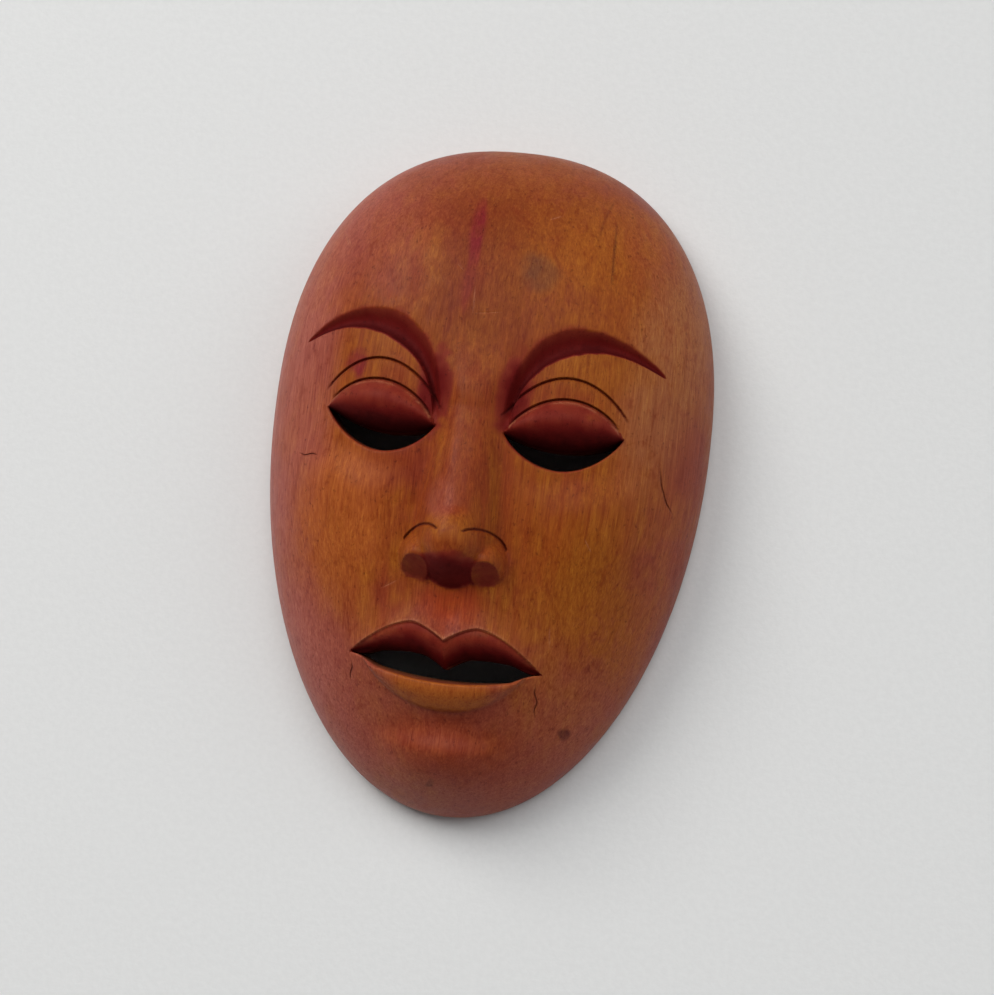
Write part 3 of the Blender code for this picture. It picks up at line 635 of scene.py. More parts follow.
def lip_lines(step):
    """The two lips' outer edges, each as a narrow step."""
    lines = []
    wide = np.linspace(0.0, 0.93, 80)
    top, _, _, foot = mouth_curves(wide)
    for edge, width, end in ((top, -LIP_EDGE, 0.93), (foot, LIP_EDGE, 0.8)):
        half = resampled(pairs(MOUTH_HALF * wide, edge)[wide < end], step)
        whole = both_sides(half)
        lines += [whole, whole + [0, width]]
    return lines


def ridge_lines(step):
    """Lines down the nose's bridge, level with each other."""
    rows = np.arange(NOSE_TIP + TIP_ABOVE / 2, ROOT_FADE_TOP, 1.6 * step)
    down = held((NOSE_ROOT - rows) / (NOSE_ROOT - NOSE_TIP))
    half = ROOT_HALF + (TIP_HALF - ROOT_HALF) * down
    return [pairs(half * part, rows) for part in (0.0, 0.42, 0.85)]


def nose_foot(step):
    """The foot of the nose's lower half, from one side round to the other."""
    turns = np.radians(np.linspace(-90, 15, 36))
    half = edge_by_rays(lambda s, y: nose_relief(np.abs(s), y) > 0.7, (0.0, NOSE_TIP), turns)
    half = resampled(half, step)
    half[0, 0] = 0.0
    return both_sides(half)


def nostril_edge(step):
    """The edge of a nostril's flat cut."""
    turns = np.radians(np.linspace(-60, 200, 40))
    centre = (NOSTRIL_OUT, NOSTRIL_LINE)
    edge = edge_by_rays(lambda s, y: wing_relief(s, y) > nostril_plane(s, y), centre, turns)
    return resampled(edge, step)


def crease_lines(step):
    """Open lines that the facets follow, so that carved edges stay crisp, on the blank."""
    ridge, *beside_ridge = ridge_lines(step)
    whole = [ridge, nose_foot(step), *lip_lines(step), *lip_ladder(step)]
    right = [*beside_ridge, nostril_edge(step), *lid_ladder(step)]
    brow = resampled(bezier(BROW_PATH, 81), step)
    width = brow_width(np.linspace(0, 1, len(brow)))
    right += [offset_path(brow, q * width)[1:-1] for q in (-0.5, -0.34, -0.17, 0.14, 0.5)]
    for path in incised_paths():
        centre = resampled(path, step)
        right += [offset_path(centre, off) for off in (-INCISION / 2, 0.0, INCISION / 2)]
    lines = [path * [UNIT_X, UNIT] for path in whole]
    for path in right:
        lines += mirrored(path)
    return lines


def side_rings(outline, inset=0.0):
    """Closed rings on the steep side, a little above its outline."""
    flat = closed(unroll(outline, inset))
    return [roll_up(flat * (1 - part), inset) for part in SIDE_RINGS]


def in_loop(points, loop):
    """True for each point inside a closed outline."""
    inside = np.zeros(len(points), bool)
    x, y = points[:, 0], points[:, 1]
    for (ax, ay), (bx, by) in zip(loop, np.roll(loop, -1, axis=0)):
        if ay == by:
            continue
        crosses = (ay > y) != (by > y)
        inside ^= crosses & (x < (bx - ax) * (y - ay) / (by - ay) + ax)
    return inside


def tree_of(points):
    """A search tree over points of the plane."""
    tree = KDTree(len(points))
    for i, (x, y) in enumerate(points):
        tree.insert((x, y, 0), i)
    tree.balance()
    return tree


def fill_points(fixed, step_at, finest, coarsest, loops, inset):
    """Points on triangular grids, close together near the fixed points and far apart elsewhere."""
    reach = math.pi / 2
    chosen = np.array(fixed)
    found = []
    step = finest
    while step < coarsest * 1.42:
        rows = np.arange(-DOWN * reach, UP * reach, step * math.sqrt(0.75))
        columns = np.arange(-HALF_W * reach, HALF_W * reach, step)
        grid_x, grid_y = np.meshgrid(columns, rows)
        grid_x = grid_x + (np.arange(len(rows)) % 2)[:, None] * step / 2
        grid = pairs(grid_x.ravel(), grid_y.ravel())
        bend = egg(grid[:, 0], grid[:, 1] + MIDDLE_Y, inset)
        grid = grid[bend < reach - 0.4 * step / HALF_W]
        wanted = step_at(grid)
        grid = grid[(wanted >= step) & ((wanted < step * 1.4143) | (step * 1.4143 >= coarsest * 1.42))]
        for loop in loops:
            grid = grid[~in_loop(grid, loop)]
        tree = tree_of(chosen)
        free = [p for p in grid if tree.find((p[0], p[1], 0))[2] > 0.72 * step]
        if free:
            found.append(np.array(free))
            chosen = np.concatenate([chosen, free])
        step *= 1.4142
    return np.concatenate(found)


def sheet(rim, loops, lines, step_at, finest, coarsest, inset=0.0):
    """Triangles over the outline with its holes: points in the front view, faces, places of fixed points."""
    flat_loops = [unroll(loop, inset) for loop in [rim, *loops]]
    flat_lines = [unroll(line, inset) for line in lines]
    fixed = np.concatenate([*flat_loops, *flat_lines])
    edges = []
    start = 0
    for loop in flat_loops:
        edges += [(start + i, start + (i + 1) % len(loop)) for i in range(len(loop))]
        start += len(loop)
    for line in flat_lines:
        edges += [(start + i, start + i + 1) for i in range(len(line) - 1)]
        start += len(line)
    fill = fill_points(fixed, step_at, finest, coarsest, flat_loops[1:], inset)
    points = [Vector(p) for p in np.concatenate([fixed, fill])]
    placed, _, faces, sources, _, _ = delaunay_2d_cdt(points, edges, [], 0, MERGE)
    placed = np.array(placed)
    corners = np.array(faces)
    middles = placed[corners].mean(axis=1)
    keep = in_loop(middles, flat_loops[0])
    for loop in flat_loops[1:]:
        keep &= ~in_loop(middles, loop)
    index = {source: i for i, merged in enumerate(sources) for source in merged}
    return roll_up(placed, inset), corners[keep], index


def step_from_lines(points, near, growth, coarsest):
    """Wanted facet size at a place: small at the carved lines, larger away from them."""
    tree = tree_of(points)

    def step_at(grid):
        away = np.array([tree.find((x, y, 0))[2] for x, y in grid])
        return np.minimum(near + growth * away, coarsest)

    return step_at


def boundary_loops(bm):
    """The open edges of a sheet as ordered rings of vertices, longest first."""
    waiting = {v for e in bm.edges if e.is_boundary for v in e.verts}
    rings = []
    while waiting:
        first = min(waiting, key=lambda v: v.index)
        ring, last = [first], None
        while True:
            here = ring[-1]
            nexts = [e.other_vert(here) for e in here.link_edges if e.is_boundary]
            step = next((v for v in nexts if v is not last), None)
            if step is first or step is None:
                break
            last = here
            ring.append(step)
        waiting -= set(ring)
        rings.append(ring)
    return sorted(rings, key=len, reverse=True)


def band(bm, ring, places):
    """A band of faces from a ring to a new ring at the given places."""
    made = [bm.verts.new(p) for p in places]
    for i, vertex in enumerate(ring):
        after = (i + 1) % len(ring)
        bm.faces.new((vertex, made[i], made[after], ring[after]))
    return made


def noise(x, y, length, seed):
    """Smooth random heights from -1 to 1 that change over about this length."""
    table = np.random.RandomState(seed).uniform(-1, 1, (64, 64))
    u, v = x / length + 32.0, y / length + 32.0
    i, j = np.floor(u).astype(int), np.floor(v).astype(int)
    fu, fv = smooth(u - i), smooth(v - j)
    corners = [table[(j + b) % 64, (i + a) % 64] for b in (0, 1) for a in (0, 1)]
    low = corners[0] + (corners[1] - corners[0]) * fu
    high = corners[2] + (corners[3] - corners[2]) * fu
    return low + (high - low) * fv


def hairlines(courses, width, x, y):
    """From 0 to 1 towards the middle of narrow lines that close at both ends."""
    share_in = np.zeros(x.shape)
    for course in courses:
        near = np.hypot(x - course[1][0], y - course[1][1]) < 25
        share, off = along(course, x[near], y[near])
        fade = held(np.minimum(share, 1 - share) / 0.25)
        half = width * (0.35 + 0.65 * fade) / 2
        share_in[near] = np.maximum(share_in[near], fade * held(1 - np.abs(off) / half))
    return share_in


def hairline_depth(x, y):
    """Cracks and scratches as narrow V grooves."""
    cracks = CRACK_DEPTH * hairlines(CRACKS, CRACK_WIDTH, x, y)
    return cracks + SCRATCH_DEPTH * hairlines(SCRATCHES, SCRATCH_WIDTH, x, y)


def slot_distance(x, y):
    """Distance in the front view to the nearest slot's edge."""
    best = np.full(x.shape, 1e9)
    for loop in slot_loops(2.0):
        best = np.minimum(best, np.abs(along(closed(loop), x, y)[1]))
    return best


def worn_edge(distance, radius):
    """How far a rounded edge lies below the sharp one at a distance from it."""
    t = held(1.0 - distance / radius)
    return radius * (1.0 - np.sqrt(held(1.0 - t**2)))


def front_height(x, y):
    """Height of the carved front over the floor."""
    s, v = np.abs(x) / UNIT_X, y / UNIT
    carving = swell(mounds(SOFT_FORMS, s, v), nose_relief(s, v) - 0.6, NOSE_FILLET)
    carving = carving + brow_relief(s, v) + lid_relief(s, v) + mouth_relief(s, v) + incisions(s, v)
    inwards = smooth((1.0 - egg(x, y)) / 0.12)
    hand = UNDULATION * noise(x, y, UNDULATION_LENGTH, 3) + KNIFE_MARK * noise(x, y, KNIFE_LENGTH, 4)
    height = RIM_ROUND + dome(egg(x, y), DOME_DEPTH - RIM_ROUND) + carving * UNIT
    height = height + hand * inwards * smooth((MASK_TOP - height) / TIP_ROOM)
    return np.minimum(height, MASK_TOP) - hairline_depth(x, y) - worn_edge(slot_distance(x, y), SLOT_ROUND)


def gouge_strokes(x, y):
    """The hollow's tool marks: shallow scoops side by side, longer along the grain."""
    rows = np.arange(-9, 10)
    columns = np.arange(-11, 12)
    column, row = (grid.ravel() for grid in np.meshgrid(columns, rows))
    shift = np.random.RandomState(11).uniform(-0.32, 0.32, (len(row), 2))
    seeds = pairs(column + 0.5 * (row % 2) + shift[:, 0], row + shift[:, 1])
    tree = tree_of(seeds)
    scaled = pairs((x + 0.08 * y) / STROKE_WIDTH, y / STROKE_LENGTH)
    away = np.array([tree.find((a, b, 0))[2] for a, b in scaled])
    return STROKE_DEPTH * (1.0 - held(away / 0.75) ** 2)


def hollow_height(x, y):
    """Height of the hollow's wall over the floor."""
    s, v = np.abs(x) / UNIT_X, y / UNIT
    rho = egg(x, y, RIM_WIDTH)
    height = dome(rho, DOME_DEPTH - WALL) + mounds(HOLLOW_FORMS, s, v) * UNIT
    return height + gouge_strokes(x, y) * smooth((1.0 - rho) / 0.06)


def drift(points):
    """Where the hand's slight unevenness moves each point of the front view."""
    x, y = points[:, 0], points[:, 1]
    inwards = smooth((0.97 - egg(x, y)) / 0.3)
    move_x = DRIFT * noise(x, y, DRIFT_LENGTH, 7) * inwards
    move_y = DRIFT * noise(x, y, DRIFT_LENGTH, 8) * inwards
    return points + pairs(move_x, move_y)


def add_sheet(bm, points, faces, heights, known, zone, value):
    """Adds a sheet's faces at its heights. known gives the vertices that are already there."""
    verts = {}
    for i in sorted({int(corner) for face in faces for corner in face}):
        if i not in known:
            verts[i] = bm.verts.new((points[i, 0], points[i, 1], heights[i]))
            verts[i][zone] = value
        else:
            verts[i] = known[i]
    for face in faces:
        bm.faces.new([verts[corner] for corner in face])


def slot_rims():
    """Rings round the slots for their worn edges, as open lines that close on themselves."""
    rings = []
    for loop in slot_loops(LINE_STEP):
        for distance in SLOT_ROUND_STEPS:
            ring = offset_path(closed(loop), distance)
            if in_loop(ring[:1], loop)[0]:
                ring = offset_path(closed(loop), -distance)
            rings.append(ring[3:-3])
    return rings


def hairline_lines():
    """The courses of the cracks and scratches, each with its two edges."""
    lines = []
    for courses, width in ((CRACKS, CRACK_WIDTH), (SCRATCHES, SCRATCH_WIDTH)):
        for course in courses:
            centre = resampled(np.array(course), LINE_STEP)
            lines += [offset_path(centre, off) for off in (-width / 2, 0.0, width / 2)]
    return lines


def small_mark_lines():
    """Lines through the small marks, where the mesh has to be fine enough to hold their edges."""
    lines = []
    for (x, y), half_width, half_height, turn, *_ in MARKS:
        if min(half_width, half_height) < SMALL_MARK:
            turn = math.radians(turn)
            along_mark = np.linspace(-half_height, half_height, 12)[:, None]
            lines.append(along_mark * [-math.sin(turn), math.cos(turn)] + [x, y])
    return lines


def add_front(bm, zone):
    """Lays the carved front and gives its outer ring and the rings of its slots."""
    loops = slot_loops(LINE_STEP)
    lines = [*crease_lines(LINE_STEP), *slot_rims(), *hairline_lines()]
    tip = pairs(np.linspace(-9, 9, 7), np.full(7, NOSE_TIP - 2.0)) * [UNIT_X, UNIT]
    dense = np.concatenate([unroll(path) for path in [*loops, *lines, tip, *small_mark_lines()]])
    step_at = step_from_lines(dense, LINE_NEAR, GROWTH, PLAIN_STEP)
    rim = egg_outline(RIM_STEP)
    points, faces, _ = sheet(rim, loops, lines + side_rings(rim), step_at, LINE_NEAR, PLAIN_STEP)
    heights = front_height(points[:, 0], points[:, 1])
    add_sheet(bm, points, faces, heights, {}, zone, 0.0)
    bm.verts.index_update()
    return boundary_loops(bm)


def add_rim(bm, outer, zone):
    """Rounds the rim's outer edge and lays its flat face, and gives its inner ring."""
    x = np.array([v.co.x for v in outer])
    y = np.array([v.co.y for v in outer]) - MIDDLE_Y
    turns = np.linspace(0, math.pi / 2, RIM_ROUND_STEPS + 1)[1:]
    steps = [(RIM_ROUND * (1 - math.cos(turn)), RIM_ROUND * (1 - math.sin(turn))) for turn in turns]
    steps += [(inset, 0.0) for inset in np.linspace(RIM_ROUND, RIM_WIDTH, RIM_RINGS + 1)[1:]]
    ring = outer
    for inset, height in steps:
        shrink = 1.0 / egg(x, y + MIDDLE_Y, inset)
        ring = band(bm, ring, [(a, b + MIDDLE_Y, height) for a, b in zip(x * shrink, y * shrink)])
        for vertex in ring:
            vertex[zone] = 0.0 if inset < RIM_ROUND / 2 else 1.0
    return ring


def add_slot_wall(bm, ring, zone):
    """Cuts a slot's wall back to the hollow, its lower edge rising a little, and gives its back ring."""
    front = np.array([tuple(v.co) for v in ring])
    low, high = front[:, 1].min(), front[:, 1].max()
    middle = (low + high) / 2
    rise = SLOT_BEVEL * held((middle - front[:, 1]) / (middle - low))
    back = pairs(front[:, 0], front[:, 1] + rise)
    back_height = hollow_height(back[:, 0], back[:, 1])
    for i in range(1, SLOT_WALL_RINGS + 1):
        share = (i / SLOT_WALL_RINGS) ** 1.5
        plan = front[:, :2] + (back - front[:, :2]) * share
        height = front[:, 2] + (back_height - front[:, 2]) * share
        ring = band(bm, ring, [(a, b, h) for (a, b), h in zip(plan, height)])
        for vertex in ring:
            vertex[zone] = 0.5 + 0.5 * share
    return ring


def add_hollow(bm, rings, zone):
    """Lays the hollow between the rim's inner ring and the slots' back rings."""
    rim, *slots = [np.array([v.co.xy for v in ring]) for ring in rings]
    dense = np.concatenate([unroll(slot, RIM_WIDTH) for slot in slots])
    step_at = step_from_lines(dense, LINE_STEP, 3 * GROWTH, BACK_STEP)
    rings_above = side_rings(rim, RIM_WIDTH)
    points, faces, index = sheet(rim, slots, rings_above, step_at, LINE_STEP, BACK_STEP, RIM_WIDTH)
    ring_verts = [v for ring in rings for v in ring]
    heights = hollow_height(points[:, 0], points[:, 1])
    add_sheet(bm, points, faces, heights, {index[i]: v for i, v in enumerate(ring_verts)}, zone, 1.0)


def shown(name, bm):
    """An object in the scene with this mesh."""
    mesh = bpy.data.meshes.new(name)
    bm.to_mesh(mesh)
    bm.free()
    made = bpy.data.objects.new(name, mesh)
    bpy.context.collection.objects.link(made)
    return made


def carved_mask():
    """The whole mask as one closed mesh.

    It has two layers that the stains read: the zone, from 0 on the front to 1 at the back, and the plan, each
    vertex's place in the carving as drawn.
    """
    bm = bmesh.new()
    zone = bm.verts.layers.float.new("zone")
    outer, *slots = add_front(bm, zone)
    inner = add_rim(bm, outer, zone)
    add_hollow(bm, [inner, *(add_slot_wall(bm, ring, zone) for ring in slots)], zone)
    places = np.array([v.co.xy for v in bm.verts])
    for vertex, (x, y) in zip(bm.verts, drift(places)):
        vertex.co.x, vertex.co.y = x, y
    bmesh.ops.recalc_face_normals(bm, faces=bm.faces[:])
    bmesh.ops.scale(bm, vec=(MM, MM, MM), verts=bm.verts)
    mask = shown("carved_face", bm)
    layer = mask.data.attributes.new("plan", "FLOAT_VECTOR", "POINT")
    layer.data.foreach_set("vector", np.column_stack([places, np.zeros(len(places))]).ravel())
    return mask


def hanging_notch():
    """The block that cuts the notch into the rim's inner edge."""
    edge = MASK_HEIGHT / 2 - RIM_WIDTH
    length = NOTCH_REACH + RIM_WIDTH
    bm = bmesh.new()
    bmesh.ops.create_cube(bm, size=1.0)
    bmesh.ops.scale(bm, vec=(NOTCH_WIDTH, length, 2 * NOTCH_DEPTH), verts=bm.verts)
    bmesh.ops.translate(bm, vec=(0, edge + NOTCH_REACH - length / 2, 0), verts=bm.verts)
    upright = [e for e in bm.edges if e.verts[0].co.xy == e.verts[1].co.xy and e.verts[0].co.y > edge]
    bmesh.ops.bevel(bm, geom=upright, offset=NOTCH_CORNER, segments=6, affect="EDGES", profile=0.5)
    bmesh.ops.scale(bm, vec=(MM, MM, MM), verts=bm.verts)
    return shown("notch_block", bm)


def cut_notch(mask):
    """Cuts the notch and keeps the result in the mask's mesh."""
    block = hanging_notch()
    cut = mask.modifiers.new("notch", "BOOLEAN")
    cut.operation = "DIFFERENCE"
    cut.object = block
    result = mask.evaluated_get(bpy.context.evaluated_depsgraph_get())
    mesh = bpy.data.meshes.new_from_object(result)
    mask.modifiers.clear()
    old = mask.data
    mask.data = mesh
    bpy.data.meshes.remove(old)
    bpy.data.objects.remove(block)


def dye_and_shade_shares(s, y, left):
    """How strongly each place is stained maroon by hand, from 0 to 1, with painted shade beside the nose root
    and under the nose tip.
    """
    ragged = 0.5 * noise(s + 90 * left, y, 2.4, 21) + 0.5 * noise(s + 90 * left, y, 7.0, 22)
    share, off = along(bezier(BROW_PATH, 41), s, y)
    width = np.maximum(brow_width(share), 0.3)
    side = 0.5 + off / width
    in_brow = smooth((side + 0.10 + 0.05 * ragged) / 0.12) * smooth((1.38 - side + 0.16 * ragged) / 0.60)
    deep = held(1.12 - 0.72 * held(side))
    brow = in_brow * deep * smooth(share / 0.1) * smooth((1.0 - share) / 0.02)
    # Maroon stain smudged from the brow down beside the nose root, which also paints the shade in the recess
    # by the inner eye corner.
    from_corner = np.hypot((s - 14.2) / 9.5, (y - 25.0) / 23.0)
    smudge_and_shade = 0.74 * (1 - smooth((from_corner + 0.20 * ragged - 0.20) / 0.80))
    eye = eye_share(s)
    fold, lid, cheek = eye_curves(eye)
    part = np.clip((fold - y) / np.maximum(fold - lid, 0.5), 0, 1.2)
    on_lid = (np.abs(eye) < 1.0) & (y < fold - 0.15) & (y > (lid + cheek) / 2)
    lid_dye = np.where(on_lid, 0.44 + 0.14 * ragged + 0.56 * smooth((part - 0.30) / 0.70), 0.0)
    m = s / MOUTH_HALF
    top, upper, lower, _ = mouth_curves(m)
    lip_part = np.clip((top - y) / np.maximum(top - upper, 0.5), 0, 1.3)
    on_lip = (m < 1.02) & (y < top - 0.35) & (y > (upper + lower) / 2)
    lip_dye = np.where(on_lip, 0.38 + 0.20 * ragged + 0.60 * smooth((lip_part - 0.28) / 0.72), 0.0)
    # Painted shade under the nose tip, where the underside faces down.
    shade_under_tip = 1.0 - smooth((np.hypot(s / 21.0, (y + 40.5) / 11.0) - 0.40 + 0.22 * ragged) / 0.65)
    shade_under_tip = shade_under_tip * smooth((nose_relief(s, y) - 0.6) / 2.0)
    cut = smooth((wing_relief(s, y) - nostril_plane(s, y)) / 0.3) * smooth((nostril_plane(s, y) - 0.2) / 0.6)
    nose = 0.84 * shade_under_tip * (1 - cut) + cut * (0.34 + 0.16 * ragged)
    return np.maximum.reduce([brow, smudge_and_shade, lid_dye, lip_dye, nose]).clip(0, 1)


def line_shares(s, y):
    """How dark each place is as part of an incised line or a crack's mouth."""
    dark = np.zeros(s.shape)
    for path in incised_paths():
        share, off = along(path, s, y)
        fade = held(np.minimum(share, 1 - share) / 0.04)
        dark = np.maximum(dark, fade * (1 - smooth((np.abs(off) - 0.30) / 0.42)))
    return dark


def ochre_shares(s, y):
    """How much each place belongs to the lower lip's bare, lighter wood."""
    m = s / MOUTH_HALF
    _, upper, lower, foot = mouth_curves(m)
    on_lip = (m < 0.8) & (y < (upper + lower) / 2) & (y > foot)
    low_edge = smooth((y - foot) / 1.3)
    sides = 1.0 - smooth((m - 0.36 + 0.08 * noise(s, y, 6.0, 31)) / 0.34)
    return np.where(on_lip, low_edge * sides, 0.0)


def mark_shares(x, y, centre, half_width, half_height, turn, softness):
    """1 inside an oval with a soft edge, 0 outside."""
    cos, sin = math.cos(math.radians(turn)), math.sin(math.radians(turn))
    off_x, off_y = x - centre[0], y - centre[1]
    away = np.hypot((off_x * cos + off_y * sin) / half_width, (off_y * cos - off_x * sin) / half_height)
    return 1.0 - smooth((away - 1.0 + softness / 2) / softness)


def tints(x, y):
    """The colour that the marks lay over the wood, painted shade and sheen among them, and how much of it."""
    x = x + 0.9 * noise(x, 0.3 * y, 7.0, 51) + 0.5 * noise(x, 0.3 * y, 2.2, 52)
    y = y + 2.2 * noise(x, y, 7.0, 53) + 0.8 * noise(x, y, 2.2, 54)
    laid = np.zeros((len(x), 3))
    bare = np.ones(len(x))
    for centre, half_width, half_height, turn, tint, strength, softness in MARKS:
        share = strength * mark_shares(x, y, centre, half_width, half_height, turn, softness)
        laid = laid * (1 - share[:, None]) + share[:, None] * tint[:3]
        bare = bare * (1 - share)
    cover = 1 - bare
    colour = np.where(cover[:, None] > 1e-4, laid / np.maximum(cover, 1e-4)[:, None], ORANGE[:3])
    return np.column_stack([colour, cover])


def worn_shares(s, y):
    """How much each place is an edge that hands have rubbed bare."""
    eye = eye_share(s)
    fold, _, _ = eye_curves(eye)
    lid_edge = (np.abs(eye) < 0.93) * np.exp(-(((y - fold + 1.25) / 0.35) ** 2))
    m = s / MOUTH_HALF
    top, _, _, _ = mouth_curves(m)
    bow = (m < 0.9) * np.exp(-(((y - top - 0.25) / 0.5) ** 2)) * (0.45 + 0.55 * (m < 0.3))
    return held(lid_edge * 0.8 + bow) * (0.55 + 0.45 * noise(s, y, 3.0, 41))


def read_layer(mesh, name, kind, width):
    """A layer's values, one row for each vertex."""
    values = np.empty(len(mesh.vertices) * width)
    mesh.attributes[name].data.foreach_get(kind, values)
    return values.reshape(-1, width)


def settle_notch(place, plan, zone):
    """Gives the cut notch's own vertices, which were never drawn, their place and the back's zone."""
    x, y, height = place.T
    near = (np.abs(x) < NOTCH_WIDTH) & (y > MASK_HEIGHT / 2 - RIM_WIDTH - 1) & (height < NOTCH_DEPTH + 0.1)
    return np.where(near[:, None], place, plan), np.where(near & (egg(x, y) < 0.985), 1.0, zone)


def stain_layers(mesh):
    """Writes what is stained, painted with shade or sheen, rubbed or bare on each vertex as three colour
    layers for the wood.
    """
    place = read_layer(mesh, "position", "vector", 3) / MM
    zone = read_layer(mesh, "zone", "value", 1)[:, 0]
    plan, zone = settle_notch(place, read_layer(mesh, "plan", "vector", 3), zone)
    x, y = plan[:, 0], plan[:, 1]
    s, v, left = np.abs(x) / UNIT_X, y / UNIT, (x < 0).astype(float)
    front = 1.0 - smooth((zone - 0.05) / 0.4)
    in_slot = smooth(zone / 0.5) * (zone < 0.99)
    # Hand stain, with painted shade beside the nose root and under the nose tip.
    dye_and_shade = dye_and_shade_shares(s, v, left)
    slot_rim = (1.0 - smooth((slot_distance(x, y) - 0.2) / 0.9)) * (dye_and_shade < 0.2)
    lip_wall = (v < MOUTH_LINE - 0.5) & (v > MOUTH_LINE - LOWER_LIP)
    dye_and_shade = (dye_and_shade + 0.30 * slot_rim * (1 - lip_wall)) * front + in_slot * np.where(lip_wall, 0.12, 0.75)
    line = np.maximum(line_shares(s, v), 0.9 * hairlines(CRACKS, CRACK_WIDTH * 1.5, x, y)) * front
    worn = np.maximum(worn_shares(s, v), 0.6 * hairlines(SCRATCHES, SCRATCH_WIDTH * 1.3, x, y)) * front
    whole = np.ones(len(x))
    layers = {
        "carved": np.stack([dye_and_shade, line, ochre_shares(s, v) * front, whole], 1),
        "handled": np.stack([worn, smooth((zone - 0.5) / 0.5), egg(x, y), whole], 1),
        "tinted": tints(x, y),
    }
    for name, values in layers.items():
        layer = mesh.attributes.new(name, "FLOAT_COLOR", "POINT")
        layer.data.foreach_set("color", held(values).astype(np.float32).ravel())
    for name in ("plan", "zone"):
        mesh.attributes.remove(mesh.attributes[name])


class Nodes:
    """Short calls for building the node tree of a material or of the surround."""

    def __init__(self, owner, shader="Principled BSDF"):
        owner.use_nodes = True
        self.tree = owner.node_tree
        self.shader = self.tree.nodes[shader]

    def add(self, kind, *values, out=0, **settings):
        """A node of a kind with settings. Each value goes to a socket: (name or number, link or constant)."""
        node = self.tree.nodes.new(kind)
        for name, value in settings.items():
            setattr(node, name, value)
        for socket, value in values:
            if isinstance(value, bpy.types.NodeSocket):
                self.tree.links.new(value, node.inputs[socket])
            else:
                node.inputs[socket].default_value = value
        return node.outputs[out]

    def math(self, operation, a, b, clamp=False):
        """One step of arithmetic."""
        return self.add("ShaderNodeMath", (0, a), (1, b), operation=operation, use_clamp=clamp)

    def times(self, a, b, clamp=False):
        """A product."""
        return self.math("MULTIPLY", a, b, clamp)

    def total(self, first, *others, clamp=False):
        """A sum."""
        for other in others:
            first = self.math("ADD", first, other, clamp)
        return first

    def vector(self, operation, a, b):
        """One step of arithmetic with places."""
        return self.add("ShaderNodeVectorMath", (0, a), (1, b), operation=operation)

    def between(self, value, low, high, to_low=0.0, to_high=1.0):
        """0 below low and 1 above high, smooth between them, or other ends where given."""
        ends = (("From Min", low), ("From Max", high), ("To Min", to_low), ("To Max", to_high))
        return self.add("ShaderNodeMapRange", ("Value", value), *ends, interpolation_type="SMOOTHSTEP")

    def mix(self, share, a, b, blend="MIX"):
        """Two colours by a share."""
        sockets = (("Factor", share), (6, a), (7, b))
        return self.add("ShaderNodeMix", *sockets, out=2, data_type="RGBA", blend_type=blend)

    def noise(self, vector, size, detail, roughness, distortion=0.0, out=0):
        """Noise with so many features per unit on each axis."""
        at = self.add("ShaderNodeMapping", ("Vector", vector), ("Scale", size))
        parts = (("Scale", 1.0), ("Detail", detail), ("Roughness", roughness), ("Distortion", distortion))
        return self.add("ShaderNodeTexNoise", ("Vector", at), *parts, out=out)

    def rings(self, vector, centre, scale, distortion):
        """Growth rings round a line along the Y axis."""
        at = self.add("ShaderNodeMapping", ("Vector", vector), ("Location", centre), vector_type="TEXTURE")
        parts = (("Scale", scale), ("Distortion", distortion), ("Detail", 2.0), ("Detail Scale", 0.6))
        around = {"wave_type": "RINGS", "rings_direction": "Y"}
        return self.add("ShaderNodeTexWave", ("Vector", at), *parts, out=1, **around)

    def layer(self, name):
        """The three channels of a colour layer."""
        colour = self.add("ShaderNodeAttribute", attribute_name=name)
        split = self.add("ShaderNodeSeparateColor", (0, colour)).node
        return [split.outputs[i] for i in range(3)]

    def join(self, value, socket):
        """Gives a value to the shader."""
        self.tree.links.new(value, self.shader.inputs[socket])

    def bump(self, height, strength, distance):
        """Gives the shader a fine relief."""
        values = (("Height", height), ("Strength", strength), ("Distance", distance))
        self.join(self.add("ShaderNodeBump", *values), "Normal")


def wood_fields(nodes):
    """The places, noises and layers that the wood's colour, gloss and relief read."""
    metres = nodes.add("ShaderNodeTexCoord", out=3)
    place = nodes.vector("MULTIPLY", metres, (1 / MM, 1 / MM, 1 / MM))
    sway = nodes.noise(place, (0.02, 0.008, 0.02), 2.0, 0.5, out=1)
    grain_at = nodes.vector("ADD", place, nodes.vector("MULTIPLY", sway, (9.0, 0.0, 9.0)))
    dye_and_shade, line, ochre = nodes.layer("carved")
    worn, back, rho = nodes.layer("handled")
    return SimpleNamespace(
        axes=nodes.add("ShaderNodeSeparateXYZ", (0, place)).node.outputs,
        fibre=nodes.noise(grain_at, (1.9, 0.085, 1.9), 3.0, 0.62),
        pore=nodes.between(nodes.noise(grain_at, (2.6, 0.17, 2.6), 2.0, 0.5), 0.60, 0.72),
        bands=nodes.noise(grain_at, (0.16, 0.008, 0.16), 3.0, 0.55, 0.3),
        streaks=nodes.noise(grain_at, (0.62, 0.030, 0.62), 3.0, 0.6),
        rings=nodes.rings(grain_at, RING_CENTRE, RING_SCALE, RING_WAVE),
        specks=nodes.noise(place, (0.75, 0.55, 0.75), 2.0, 0.6),
        blotch=nodes.noise(place, (0.030, 0.022, 0.030), 3.0, 0.6, 0.4),
        mottle=nodes.noise(place, (0.16, 0.11, 0.16), 3.0, 0.65, 0.6),
        tint=nodes.add("ShaderNodeAttribute", attribute_name="tinted").node.outputs,
        dye_and_shade=dye_and_shade, line=line, ochre=ochre, worn=worn, back=back, rho=rho,
    )


